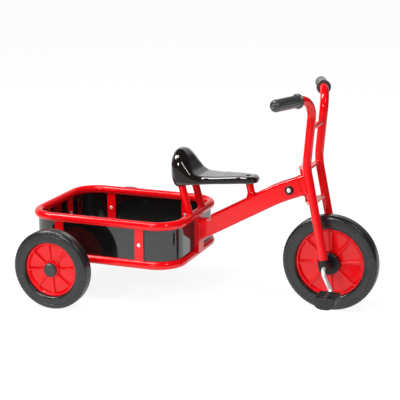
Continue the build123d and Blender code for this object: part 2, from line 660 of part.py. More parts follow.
def main_beam():
    """Bent box tube, cut to the upright and the head tube."""
    beam = beam_shape(0.0) - beam_shape(BEAM_WALL)
    top = TAIL_TOP_Z + 2 * BEAM_H
    beam -= block(UPRIGHT_FRONT_X - 2 * BEAM_H, UPRIGHT_FRONT_X + SEAT_GAP, -BEAM_W, BEAM_W, 0, top)
    beam -= rod(steer_point(CROWN_LOW), steer_point(CROWN_HIGH), HEAD_TUBE_D / 2 + SEAT_GAP / 2)
    beam -= across(BEAM_BOLT.X, BEAM_BOLT.Z, -BEAM_W, BEAM_W, BEAM_BOLT_D / 2 + SEAT_GAP)
    return largest(beam)


def cup_washers():
    """Black cups on both sides of the beam, round the bolt."""
    bore_r = BEAM_BOLT_D / 2 + SEAT_GAP
    room_r = BOLT_HEAD_D / 2 + CUP_ROOM
    outline = [
        (bore_r, 0), (CUP_D / 2, 0), (CUP_D / 2, CUP_T - CUP_EDGE), (CUP_D / 2 - CUP_EDGE, CUP_T),
        (room_r, CUP_T), (room_r, CUP_T / 2), (bore_r, CUP_T / 2),
    ]
    seat = BEAM_W / 2 + SEAT_GAP
    return one([turned(outline, (BEAM_BOLT.X, s * seat, BEAM_BOLT.Z), s) for s in SIDES.values()])


def bolt_dome(y_sign):
    """Rounded head against a cup washer."""
    head = across(BEAM_BOLT.X, BEAM_BOLT.Z, y_sign * BOLT_SEAT_Y, y_sign * (BOLT_SEAT_Y + BOLT_HEAD_T), BOLT_HEAD_D / 2)
    return fillet(outer_edge(head, Axis.Y, -1 if y_sign > 0 else 0), BOLT_HEAD_T / 2)


def beam_bolt():
    """Round-headed bolt across the beam."""
    end = BOLT_SEAT_Y + BOLT_HEAD_T - BOLT_TIP
    return bolt_dome(-1) + across(BEAM_BOLT.X, BEAM_BOLT.Z, -BOLT_SEAT_Y - BOLT_TIP, end, BEAM_BOLT_D / 2)


def beam_bolt_nut():
    """Domed nut of the bolt, on the left."""
    end = BOLT_SEAT_Y + BOLT_HEAD_T - BOLT_TIP + SEAT_GAP
    return bolt_dome(1) - across(BEAM_BOLT.X, BEAM_BOLT.Z, 0, end, BEAM_BOLT_D / 2 + SEAT_GAP / 2)


# Tray


def rail_solid(z, radius):
    """Round ring along a rail's centre line."""
    corners = [
        (RAIL_REAR_X, -RAIL_Y, z), (RAIL_FRONT_X, -RAIL_Y, z), (RAIL_FRONT_X, RAIL_Y, z), (RAIL_REAR_X, RAIL_Y, z)
    ]
    return swept(FilletPolyline(*corners, radius=TRAY_CORNER_R, close=True), Circle(radius))


def rail(z):
    """Bent tube ring."""
    return rail_solid(z, RAIL_R) - rail_solid(z, RAIL_R - RAIL_WALL)


def tray_bottom_rail():
    """Lower ring, notched over the axle tube."""
    return rail(RAIL_LOW_Z) - across(-WHEELBASE, REAR_R, -WHEEL_Y, WHEEL_Y, AXLE_TUBE_R + SEAT_GAP / 2)


def cope(body):
    """Cut a tray piece round both rails."""
    for z in (RAIL_LOW_Z, RAIL_TOP_Z):
        body -= rail_solid(z, RAIL_R + SEAT_GAP / 2)
    return body


def wall_outline(inset):
    """Outline of the tray at the rails' centre line, drawn in by an inset."""
    size = (TRAY_LENGTH - 2 * inset, TRAY_WIDTH - 2 * inset)
    return Pos(TRAY_MID_X, 0) * RectangleRounded(*size, TRAY_CORNER_R - inset)


def side_screws(y_sign):
    """Wall point and outward direction of the two screws in a side wall."""
    return [(Vector(x, y_sign * RAIL_Y, SCREW_Z), Vector(0, y_sign, 0)) for x in POST_XS]


def rear_screws():
    """Wall point and outward direction of the two screws in the rear wall."""
    return [(Vector(RAIL_REAR_X, s * REAR_POST_Y, SCREW_Z), Vector(-1, 0, 0)) for s in SIDES.values()]


def all_screws():
    return side_screws(1) + side_screws(-1) + rear_screws()


def screw_hole(point, out):
    """Hole through all the layers of a wall."""
    reach = out * (SCREW_SEAT + PAST)
    return rod(point - reach, point + reach, SCREW_D / 2 + SEAT_GAP)


def tray_panel():
    """Thin panel that wraps round the tray, between the rails."""
    ring = wall_outline(-PANEL_T / 2) - wall_outline(PANEL_T / 2)
    low = RAIL_LOW_Z + RAIL_R + SEAT_GAP
    body = extrude(Pos(0, 0, low) * ring, TRAY_HEIGHT - RAIL_D - 2 * SEAT_GAP)
    for point, out in all_screws():
        body -= screw_hole(point, out)
    return body


def wall_bars(screws, facing):
    """Flat bars between the rails, one at each screw, outside (1) or inside (-1) the panel."""
    bars = []
    for point, out in screws:
        place = Plane(point + out * (facing * WALL_HALF_T), x_dir=(0, 0, 1), z_dir=out * facing)
        low, high = RAIL_LOW_Z - point.Z, RAIL_TOP_Z - point.Z
        bar = place * Pos((low + high) / 2, 0, POST_T / 2) * Box(high - low, POST_W, POST_T)
        bars.append(largest(cope(bar) - screw_hole(point, out)))
    return one(bars)


def front_upright():
    """Flat box tube on the front wall that carries the beam's end."""
    half = UPRIGHT_W / 2
    wall = UPRIGHT_WALL
    body = block(UPRIGHT_BACK_X, UPRIGHT_FRONT_X, -half, half, RAIL_LOW_Z, RAIL_TOP_Z)
    body -= block(
        UPRIGHT_BACK_X + wall, UPRIGHT_FRONT_X - wall, wall - half, half - wall, RAIL_LOW_Z - PAST, RAIL_TOP_Z + PAST
    )
    return largest(cope(body))


def screw_dome(seat, out):
    """Rounded screw head or nut that stands on a point."""
    head = Cylinder(SCREW_HEAD_D / 2, SCREW_HEAD_T, align=ON_START)
    return Plane(seat, z_dir=out) * fillet(outer_edge(head, Axis.Z, -1), SCREW_HEAD_T - SCREW_HEAD_EDGE)


def panel_screws():
    screws = []
    for point, out in all_screws():
        tip = point - out * (SCREW_SEAT + SCREW_HEAD_T / 2)
        head = screw_dome(point + out * SCREW_SEAT, out)
        screws.append(head + rod(tip, point + out * (SCREW_SEAT + SCREW_HEAD_EDGE), SCREW_D / 2))
    return one(screws)


def panel_nuts():
    nuts = []
    for point, out in all_screws():
        tip = point - out * (SCREW_SEAT + SCREW_HEAD_T / 2 + SEAT_GAP)
        nut = screw_dome(point - out * SCREW_SEAT, out * -1)
        nuts.append(nut - rod(tip, point, SCREW_D / 2 + SEAT_GAP / 2))
    return one(nuts)


def floor_screw_places():
    return [(x, y_sign * FLOOR_SCREW_PITCH / 2) for x in CROSS_XS for y_sign in SIDES.values()]


def floor_holes():
    low, high = FLOOR_LOW_Z - CROSS_T - PAST, FLOOR_TOP_Z + PAST
    return [rod((x, y, low), (x, y, high), SCREW_D / 2 + SEAT_GAP) for x, y in floor_screw_places()]


def tray_floor():
    """Floor plate inside the lower rail, on the cross members."""
    body = extrude(Pos(0, 0, FLOOR_LOW_Z) * wall_outline(RAIL_R + FLOOR_GAP), FLOOR_T)
    for hole in floor_holes():
        body -= hole
    for x, y in floor_screw_places():
        body -= rod((x, y, FLOOR_HEAD_Z), (x, y, FLOOR_TOP_Z + PAST), SCREW_HEAD_D / 2 + SEAT_GAP)
    return body


def cross_members():
    """Two box tubes under the floor, welded into the lower rail."""
    bars = []
    half, wall = CROSS_W / 2, CROSS_WALL
    low, high = FLOOR_LOW_Z - CROSS_T, FLOOR_LOW_Z
    for x in CROSS_XS:
        bar = block(x - half, x + half, -RAIL_Y, RAIL_Y, low, high)
        bar -= block(x - half + wall, x + half - wall, -TRAY_WIDTH, TRAY_WIDTH, low + wall, high - wall)
        bar = largest(bar - rail_solid(RAIL_LOW_Z, RAIL_R + SEAT_GAP / 2))
        for hole in floor_holes():
            bar -= hole
        bars.append(bar)
    return one(bars)


def floor_screws():
    screws = []
    for x, y in floor_screw_places():
        seat = FLOOR_HEAD_Z + SEAT_GAP / 2
        head = rod((x, y, seat), (x, y, seat + FLOOR_HEAD_T), SCREW_HEAD_D / 2)
        screws.append(head + rod((x, y, FLOOR_LOW_Z - CROSS_T), (x, y, seat + FLOOR_HEAD_T / 2), SCREW_D / 2))
    return one(screws)


# Seat


def row_slope(index, column):
    """Slope of one column of the saddle's table at a row: level at a crest, else between its neighbours."""
    spans = []
    for near, far in zip(SEAT_SECTIONS[max(index - 1, 0):index + 1], SEAT_SECTIONS[max(index, 1):index + 2]):
        spans.append((far[column] - near[column]) / (far[0] - near[0]))
    if min(spans) * max(spans) <= 0:
        return 0.0
    return len(spans) / sum(1 / span for span in spans)


def seat_rows():
    """Sections of the saddle at close steps along a smooth curve through the table."""
    rows = []
    for index, (near, far) in enumerate(zip(SEAT_SECTIONS, SEAT_SECTIONS[1:])):
        width = far[0] - near[0]
        steps = ceil(width / SEAT_STEP)
        for step in range(steps):
            t = step / steps
            row = [near[0] + t * width]
            for column in range(1, len(near)):
                rise = (3 - 2 * t) * t**2 * (far[column] - near[column])
                leave = t * (1 - t)**2 * width * row_slope(index, column)
                arrive = t**2 * (t - 1) * width * row_slope(index + 1, column)
                row.append(near[column] + rise + leave + arrive)
            rows.append(row)
    return rows + [SEAT_SECTIONS[-1]]


def seat_section(back, half, top, bottom, corner, inset=0.0):
    """Cross-section of the saddle: flat below, rounded at the upper corners."""
    width = half - inset
    high = SEAT_Z + top - inset
    low = SEAT_Z + bottom - 2 * inset
    r = min(corner, width - PAST)
    bend = r * (1 - sqrt(0.5))
    outline = [
        Line((-width, low), (width, low)),
        Line((width, low), (width, high - r)),
        ThreePointArc((width, high - r), (width - bend, high - bend), (width - r, high)),
        Line((width - r, high), (-width + r, high)),
        ThreePointArc((-width + r, high), (-width + bend, high - bend), (-width, high - r)),
        Line((-width, high - r), (-width, low)),
    ]
    place = Plane(origin=(SEAT_NOSE_X - back, 0, 0), x_dir=(0, 1, 0), z_dir=(1, 0, 0))
    return place * make_face(Curve() + outline)


def seat_strut_foot(y_sign):
    return Vector(RAIL_FRONT_X, y_sign * STRUT_SPACING / 2, RAIL_TOP_Z)


def seat_strut_top(y_sign):
    """Upper end of a strut, inside the saddle."""
    nearest = min(SEAT_SECTIONS, key=lambda row: abs(row[0] - STRUT_BACK))
    rim = SEAT_Z + nearest[3]
    length = (rim - RAIL_TOP_Z) / cos(radians(STRUT_LEAN)) + STRUT_SOCKET
    return seat_strut_foot(y_sign) + STRUT_DIR * length


def seat_strut(y_sign):
    """Tube from the front rail into the saddle."""
    foot, top = seat_strut_foot(y_sign), seat_strut_top(y_sign)
    tube = rod(foot, top, STRUT_D / 2) - rod(foot, top + STRUT_DIR, STRUT_D / 2 - STRUT_WALL)
    return largest(cope(tube))


def post_foot():
    """Where the front post's axis meets the beam's top."""
    point = BEAM_TAIL + Vector(-BEAM_DIR.Z, 0, BEAM_DIR.X) * (BEAM_H / 2)
    offset = POST_TOP - point
    cross = POST_DIR.X * BEAM_DIR.Z - POST_DIR.Z * BEAM_DIR.X
    return POST_TOP - POST_DIR * ((offset.X * BEAM_DIR.Z - offset.Z * BEAM_DIR.X) / cross)


def seat_front_post():
    """Short post on the beam, flared at its weld, threaded for the seat screw."""
    foot = post_foot()
    body = rod(foot - POST_DIR * BEAM_H / 2, POST_TOP + POST_DIR * POST_D, POST_D / 2)
    flare = Cone(POST_D / 2 + POST_FLARE, POST_D / 2, 2 * POST_FLARE, align=ON_START)
    body += Plane(foot - POST_DIR * POST_FLARE, z_dir=POST_DIR) * flare
    body -= beam_swept(-SEAT_GAP / 2)
    body -= Pos(*POST_TOP) * Box(4 * POST_D, 4 * POST_D, 2 * POST_D, align=ON_START)
    body = max(body.solids(), key=lambda solid: solid.center().Z)
    return body - seat_screw_shank(SEAT_GAP)


def seat_screw_shank(gap):
    """Threaded part of the seat screw, or with a gap the hole for it."""
    low = POST_TOP - Vector(0, 0, SEAT_SCREW_L + gap)
    return rod(low, Vector(POST_TOP.X, 0, SEAT_FRONT_Z - SEAT_SCREW_SUNK), SEAT_SCREW_D / 2 + gap)


def seat_screw():
    """Screw from the saddle's top into the post."""
    top = SEAT_FRONT_Z - SEAT_SCREW_SUNK
    head = rod((POST_TOP.X, 0, top - SEAT_SCREW_HEAD_T), (POST_TOP.X, 0, top), SEAT_SCREW_HEAD_D / 2)
    return seat_screw_shank(0.0) + head


def seat_shell():
    """Saddle shell with sockets for the struts and a sunk hole for the front screw."""
    rows = seat_rows()
    outer = loft([seat_section(*row) for row in rows], ruled=True)
    inner_rows = [row for row in rows if SEAT_SECTIONS[1][0] <= row[0] <= SEAT_SECTIONS[-2][0]]
    shell = outer - loft([seat_section(*row, SEAT_WALL) for row in inner_rows], ruled=True)
    for y_sign in SIDES.values():
        top = seat_strut_top(y_sign)
        mouth = top - STRUT_DIR * (STRUT_SOCKET - SOCKET_MOUTH)
        shell += rod(mouth, top + STRUT_DIR * BEAM_H, STRUT_D / 2 + SOCKET_WALL) & outer
        shell -= rod(seat_strut_foot(y_sign), top + STRUT_DIR * SEAT_GAP, STRUT_D / 2 + SEAT_GAP / 2)
    sunk = SEAT_FRONT_Z - SEAT_SCREW_SUNK - SEAT_SCREW_HEAD_T - SEAT_GAP / 2
    shell -= seat_screw_shank(SEAT_GAP)
    shell -= rod((POST_TOP.X, 0, sunk), (POST_TOP.X, 0, SEAT_FRONT_Z + PAST), SEAT_SCREW_HEAD_D / 2 + SEAT_GAP)
    return largest(shell)


def pieces():
    """All the pieces by name."""
    low, high = head_ends()
    named = {
        "main_beam": main_beam(),
        "head_tube": head_tube(),
        "head_bush_lower": head_bush(low, 1),
        "head_bush_upper": head_bush(high, -1),
        "beam_bolt": beam_bolt(),
        "beam_bolt_nut": beam_bolt_nut(),
        "cup_washers": cup_washers(),
        "front_upright": front_upright(),
        "tray_top_rail": rail(RAIL_TOP_Z),
        "tray_bottom_rail": tray_bottom_rail(),
        "tray_panel": tray_panel(),
        "wall_posts_rear": wall_bars(rear_screws(), 1),
        "wall_strips": wall_bars(all_screws(), -1),
        "panel_screws": panel_screws(),
        "panel_nuts": panel_nuts(),
        "tray_floor": tray_floor(),
        "cross_members": cross_members(),
        "floor_screws": floor_screws(),
        "axle_tube": axle_tube(),
        "rear_axle": rear_axle(),
        "axle_lock_washers": axle_lock_washers(),
        "seat_shell": seat_shell(),
        "seat_front_post": seat_front_post(),
        "seat_screw": seat_screw(),
        "crown_plate_lower": crown_plate(CROWN_LOW),
        "crown_plate_upper": crown_plate(CROWN_HIGH),
        "handlebar_crossbar": handlebar_crossbar(),
        "steering_pin": steering_pin(),
        "steering_nut": steering_nut(),
        "front_tyre": tyre(FRONT_R, FRONT_RIM_D / 2, FRONT_AXLE),
        "crank_axle": crank_axle(),
        "drive_pins": drive_pins(),
        "pedal_locks": pedal_locks(),
    }
    for side, y_sign in SIDES.items():
        named[f"wall_posts_{side}"] = wall_bars(side_screws(y_sign), 1)
        named[f"seat_strut_{side}"] = seat_strut(y_sign)
        named[f"fork_leg_{side}"] = fork_leg(y_sign)
        named[f"grip_{side}"] = grip(y_sign)
        named[f"bearing_holder_{side}"] = bearing_holder(y_sign)
        named[f"front_disc_{side}"] = front_disc(y_sign)
        named[f"hub_flange_{side}"] = hub_flange(y_sign)
        named[f"pedal_{side}"] = pedal(y_sign)
        named[f"pedal_cap_{side}"] = pedal_cap(y_sign)
        named[f"rear_tyre_{side}"] = tyre(REAR_R, REAR_RIM_D / 2, (-WHEELBASE, y_sign * WHEEL_Y, REAR_R))
        named[f"rear_disc_{side}"] = rear_disc(y_sign)
        named[f"rear_bush_{side}"] = rear_bush(y_sign)
        named[f"hub_cap_{side}"] = hub_cap(y_sign)
    return named


def main():
    os.makedirs("parts", exist_ok=True)
    rear_end = min(RAIL_REAR_X - RAIL_R, -WHEELBASE - REAR_R)
    centre = Pos(-(FRONT_R + rear_end) / 2, 0, 0)
    for name, shape in pieces().items():
        export_step(centre * shape, f"parts/{name}.step")


main()
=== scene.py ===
"""Children's tricycle with a cargo tray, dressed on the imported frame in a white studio.

Lengths are in metres in the frame of the solid model: X forward, Y to the rider's left, Z up.
"""

import json
import logging
import math
from dataclasses import dataclass, field
from enum import Enum
from typing import Sequence

import bmesh
import bpy
from mathutils import Matrix, Vector
from mathutils.bvhtree import BVHTree


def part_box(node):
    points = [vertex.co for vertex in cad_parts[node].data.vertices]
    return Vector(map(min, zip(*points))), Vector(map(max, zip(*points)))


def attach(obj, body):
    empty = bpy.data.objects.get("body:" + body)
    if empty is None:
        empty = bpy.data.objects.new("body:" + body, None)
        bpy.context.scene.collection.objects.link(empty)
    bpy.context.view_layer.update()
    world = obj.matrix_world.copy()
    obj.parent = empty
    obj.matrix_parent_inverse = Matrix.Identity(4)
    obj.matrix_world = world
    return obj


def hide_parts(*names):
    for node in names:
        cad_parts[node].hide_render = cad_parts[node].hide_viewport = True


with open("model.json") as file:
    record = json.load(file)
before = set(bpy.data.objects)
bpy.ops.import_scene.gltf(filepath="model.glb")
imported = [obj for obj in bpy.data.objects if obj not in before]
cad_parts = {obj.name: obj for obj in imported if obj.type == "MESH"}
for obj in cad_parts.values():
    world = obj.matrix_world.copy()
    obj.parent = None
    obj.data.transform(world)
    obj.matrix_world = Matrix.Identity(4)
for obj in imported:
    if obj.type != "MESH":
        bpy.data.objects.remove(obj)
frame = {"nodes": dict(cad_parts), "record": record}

LOG = logging.getLogger("tricycle")
MM = 0.001
MERGE_DISTANCE = 0.000005
STEEP = 0.9
SIDES = {"left": 1, "right": -1}
Pair = tuple[float, float]
Triple = tuple[float, float, float]
Socket = bpy.types.NodeSocket


class Body(Enum):
    """Moving bodies of the tricycle."""

    FRAME = "frame"
    FORK = "fork"
    FRONT_WHEEL = "front_wheel"
    PEDAL_LEFT = "pedal_left_body"
    PEDAL_RIGHT = "pedal_right_body"
    REAR_LEFT = "rear_wheel_left"
    REAR_RIGHT = "rear_wheel_right"


class Slot(Enum):
    """Material slots of the record."""

    RED_PAINT = "red_paint"
    RED_PLASTIC = "red_plastic"
    BLACK_GLOSS = "black_gloss"
    BLACK_FLOOR = "black_floor"
    BLACK_PLASTIC = "black_plastic"
    GRIP_RUBBER = "grip_rubber"
    TYRE_RUBBER = "tyre_rubber"
    BRIGHT_STEEL = "bright_steel"


class Look(Enum):
    """Finishes; some share a slot."""

    PAINT = "red_powder_coat"
    DISC = "red_moulded_plastic"
    SADDLE = "saddle_gloss_plastic"
    PANEL = "panel_gloss_film"
    FLOOR = "black_floor_film"
    PLASTIC = "black_moulded_plastic"
    PEDAL = "grained_pedal_plastic"
    CAP = "satin_cap_plastic"
    # Painted shade: a near-black without gloss for the discs and trays that stand in for the shade inside
    # holes and slots
    PAINTED_SHADE = "painted_recess_shade"
    GRIP = "grip_rubber"
    TYRE = "tyre_rubber"
    STEEL = "bright_plated_steel"


class Step(Enum):
    """How a ramp runs between its ends."""

    EVEN = "LINEAR"
    SOFT = "SMOOTHSTEP"


def both(name: str) -> list[str]:
    """Returns the names of a piece's left and right copies."""
    return [f"{name}_{side}" for side in SIDES]


# Node trees


@dataclass
class Graph:
    """Node tree of a material, a group or the world, with short ways to add and join nodes."""

    tree: bpy.types.NodeTree

    def add(self, kind: str, **settings: object) -> bpy.types.Node:
        """Adds a shader node.

        Args:
            kind: Type of the node, without its prefix.
            settings: Values of the node's own options.

        Returns:
            The node.
        """
        node = self.tree.nodes.new(f"ShaderNode{kind}")
        for label, value in settings.items():
            setattr(node, label, value)
        return node

    def join(self, value: Socket | float | Sequence[float], sink: Socket) -> None:
        """Gives an input its value.

        Args:
            value: Socket that is linked, or a constant.
            sink: The input.
        """
        if isinstance(value, Socket):
            self.tree.links.new(value, sink)
        else:
            sink.default_value = value

    def math(self, kind: str, *operands: Socket | float) -> Socket:
        """Adds a math node.

        Args:
            kind: Operation of the node.
            operands: Its operands, sockets or numbers.

        Returns:
            The result.
        """
        node = self.add("Math", operation=kind)
        for operand, sink in zip(operands, node.inputs):
            self.join(operand, sink)
        return node.outputs["Value"]

    def ramp(self, value: Socket, reach: Pair, ends: Pair = (0.0, 1.0), step: Step = Step.SOFT) -> Socket:
        """Adds a ramp from one value to another.

        Args:
            value: Value that the ramp runs over.
            reach: Where the ramp starts and ends.
            ends: Result before and after the ramp.
            step: How it runs between them.

        Returns:
            The result.
        """
        node = self.add("MapRange", interpolation_type=step.value)
        for label, number in zip(("From Min", "From Max", "To Min", "To Max"), (*reach, *ends)):
            self.join(number, node.inputs[label])
        self.join(value, node.inputs["Value"])
        return node.outputs["Result"]

    def split(self, vector: Socket) -> bpy.types.Node:
        """Adds a node that splits a vector.

        Args:
            vector: The vector.

        Returns:
            The node, with an output for each axis.
        """
        node = self.add("SeparateXYZ")
        self.join(vector, node.inputs["Vector"])
        return node

    def place(self, group: bpy.types.NodeTree, values: dict[str, float | Sequence[float]]) -> Socket:
        """Places a shared group.

        Args:
            group: The group, with one output.
            values: Value of each input by name.

        Returns:
            The group's output.
        """
        node = self.add("Group", node_tree=group)
        for label, value in values.items():
            self.join(value, node.inputs[label])
        return node.outputs[0]


# Shared surface effects


@dataclass
class Effects:
    """Shader node groups that several finishes share, each built once."""

    tone_detail: float = 3.0
    gloss_detail: float = 4.0
    fine_detail: float = 2.0
    slow_detail: float = 1.0
    wide_detail: float = 6.0
    thin_detail: float = 3.0
    thin_scale: float = 7.3
    mark_reach: Pair = (0.31, 0.42)
    ridge_turn: float = math.radians(45.0)
    ridge_reach: Pair = (0.34, 0.44)

    def __post_init__(self) -> None:
        """Builds every group."""
        self.tone_drift = self._tone_drift()
        self.gloss_drift = self._gloss_drift()
        self.skin_relief = self._skin_relief()
        self.rub_marks = self._rub_marks()
        self.lattice = self._lattice()

    @staticmethod
    def _group(name: str, inputs: Sequence[str], output: str) -> tuple[Graph, bpy.types.Node, Socket]:
        """Makes an empty group; a socket called Colour is a colour, and any other a number.

        Args:
            name: Name of the group.
            inputs: Names of its inputs.
            output: Name of its output.

        Returns:
            The group's graph, its input node and the socket that takes its result.
        """
        tree = bpy.data.node_groups.new(name, "ShaderNodeTree")
        for way, labels in (("INPUT", inputs), ("OUTPUT", [output])):
            for label in labels:
                kind = "NodeSocketColor" if label == "Colour" else "NodeSocketFloat"
                tree.interface.new_socket(label, in_out=way, socket_type=kind)
        source, sink = tree.nodes.new("NodeGroupInput"), tree.nodes.new("NodeGroupOutput")
        return Graph(tree), source, sink.inputs[output]

    @staticmethod
    def _noise(graph: Graph, scale: Socket, detail: float) -> Socket:
        """Adds a noise in the piece's own space.

        Args:
            graph: Graph that gets the nodes.
            scale: Socket that gives the noise's scale.
            detail: Octaves of the noise.

        Returns:
            The noise's value.
        """
        noise = graph.add("TexNoise")
        graph.join(graph.add("TexCoord").outputs["Object"], noise.inputs["Vector"])
        graph.join(scale, noise.inputs["Scale"])
        graph.join(detail, noise.inputs["Detail"])
        return noise.outputs["Fac"]

    def _swing(self, graph: Graph, source: bpy.types.Node, detail: float) -> Socket:
        """Returns a noise that swings about nought by the group's amount."""
        noise = self._noise(graph, source.outputs["Scale"], detail)
        return graph.math("MULTIPLY", graph.math("SUBTRACT", noise, 0.5), source.outputs["Amount"])

    def _tone_drift(self) -> bpy.types.NodeTree:
        """Makes a colour a little lighter and darker over the surface.

        Returns:
            The group.
        """
        graph, source, result = self._group("tone_drift", ("Colour", "Scale", "Amount"), "Colour")
        factor = graph.math("ADD", self._swing(graph, source, self.tone_detail), 1.0)
        scale = graph.add("VectorMath", operation="SCALE")
        graph.join(source.outputs["Colour"], scale.inputs[0])
        graph.join(factor, scale.inputs["Scale"])
        graph.join(scale.outputs["Vector"], result)
        return graph.tree

    def _gloss_drift(self) -> bpy.types.NodeTree:
        """Varies a roughness over the surface.

        Returns:
            The group.
        """
        graph, source, result = self._group("gloss_drift", ("Roughness", "Scale", "Amount"), "Roughness")
        swing = self._swing(graph, source, self.gloss_detail)
        graph.join(graph.math("ADD", swing, source.outputs["Roughness"]), result)
        return graph.tree

    def _skin_relief(self) -> bpy.types.NodeTree:
        """Gives the fine and the slow unevenness of a coated or moulded skin.

        Returns:
            The group.
        """
        inputs = ("Fine Scale", "Slow Scale", "Slow Share")
        graph, source, result = self._group("skin_relief", inputs, "Height")
        fine = self._noise(graph, source.outputs["Fine Scale"], self.fine_detail)
        slow = self._noise(graph, source.outputs["Slow Scale"], self.slow_detail)
        part = graph.math("MULTIPLY", slow, source.outputs["Slow Share"])
        graph.join(graph.math("ADD", fine, part), result)
        return graph.tree

    def _rub_marks(self) -> bpy.types.NodeTree:
        """Gives a mask of thin broken rub marks.

        Returns:
            The group.
        """
        graph, source, result = self._group("rub_marks", ("Scale", "Amount"), "Mask")
        finer = graph.math("MULTIPLY", source.outputs["Scale"], self.thin_scale)
        wide = self._noise(graph, source.outputs["Scale"], self.wide_detail)
        thin = self._noise(graph, finer, self.thin_detail)
        edge = graph.ramp(graph.math("MULTIPLY", wide, thin), self.mark_reach, step=Step.EVEN)
        graph.join(graph.math("MULTIPLY", edge, source.outputs["Amount"]), result)
        return graph.tree

    def _lattice(self) -> bpy.types.NodeTree:
        """Gives a mask of raised ridges in a diagonal lattice.

        Returns:
            The group.
        """
        graph, source, result = self._group("lattice", ("Scale",), "Mask")
        turn = graph.add("VectorRotate", rotation_type="Z_AXIS")
        graph.join(self.ridge_turn, turn.inputs["Angle"])
        graph.join(graph.add("TexCoord").outputs["Object"], turn.inputs["Vector"])
        axes = graph.split(turn.outputs["Vector"]).outputs
        walls = []
        for axis in ("X", "Y"):
            part = graph.math("FRACT", graph.math("MULTIPLY", axes[axis], source.outputs["Scale"]))
            walls.append(graph.math("ABSOLUTE", graph.math("SUBTRACT", part, 0.5)))
        graph.join(graph.ramp(graph.math("MAXIMUM", *walls), self.ridge_reach), result)
        return graph.tree


# Finishes


@dataclass(frozen=True)
class Finish:
    """A surface finish: colour, gloss, skin and use marks."""

    slot: Slot
    colour: Triple
    roughness: float
    metallic: float = 0.0
    ior: float = 1.5
    coat: float = 0.0
    coat_roughness: float = 0.03
    tone: Pair = (18.0, 0.08)
    gloss: Pair = (35.0, 0.06)
    relief: Triple = (900.0, 60.0, 2.0)
    depth: float = 0.00002
    marks: Pair = (40.0, 0.0)
    mark_colour: Triple = (0.3, 0.3, 0.3)
    ridges: float = 0.0
    ridge_height: float = 5.0

    def material(self, name: str, effects: Effects) -> bpy.types.Material:
        """Builds the node material of this finish.

        Args:
            name: Name of the material.
            effects: Shared node groups.

        Returns:
            The new material.
        """
        material = bpy.data.materials.new(name)
        material.use_nodes = True
        graph = Graph(material.node_tree)
        shader = graph.tree.nodes["Principled BSDF"].inputs
        shader["Metallic"].default_value = self.metallic
        shader["IOR"].default_value = self.ior
        shader["Coat Weight"].default_value = self.coat
        shader["Coat Roughness"].default_value = self.coat_roughness
        scale, amount = self.gloss
        gloss = {"Roughness": self.roughness, "Scale": scale, "Amount": amount}
        graph.join(graph.place(effects.gloss_drift, gloss), shader["Roughness"])
        graph.join(self._base(graph, effects), shader["Base Color"])
        bump = graph.add("Bump")
        graph.join(1.0, bump.inputs["Strength"])
        graph.join(self.depth, bump.inputs["Distance"])
        graph.join(self._height(graph, effects), bump.inputs["Height"])
        graph.join(bump.outputs["Normal"], shader["Normal"])
        return material

    def _height(self, graph: Graph, effects: Effects) -> Socket:
        """Adds the skin's relief, with a lattice of ridges where the finish has one.

        Args:
            graph: The material's graph.
            effects: Shared node groups.

        Returns:
            The height.
        """
        fine, slow, share = self.relief
        relief = {"Fine Scale": fine, "Slow Scale": slow, "Slow Share": share}
        height = graph.place(effects.skin_relief, relief)
        if self.ridges == 0.0:
            return height
        lattice = graph.place(effects.lattice, {"Scale": self.ridges})
        return graph.math("MULTIPLY_ADD", lattice, self.ridge_height, height)

    def _base(self, graph: Graph, effects: Effects) -> Socket:
        """Adds the drifting colour, with rub marks where the finish has them.

        Args:
            graph: The material's graph.
            effects: Shared node groups.

        Returns:
            The colour.
        """
        scale, amount = self.tone
        tone = {"Colour": (*self.colour, 1.0), "Scale": scale, "Amount": amount}
        base = graph.place(effects.tone_drift, tone)
        scale, amount = self.marks
        if amount == 0.0:
            return base
        mix = graph.add("Mix", data_type="RGBA")
        graph.join(graph.place(effects.rub_marks, {"Scale": scale, "Amount": amount}), mix.inputs["Factor"])
        graph.join(base, mix.inputs["A"])
        graph.join((*self.mark_colour, 1.0), mix.inputs["B"])
        return mix.outputs["Result"]


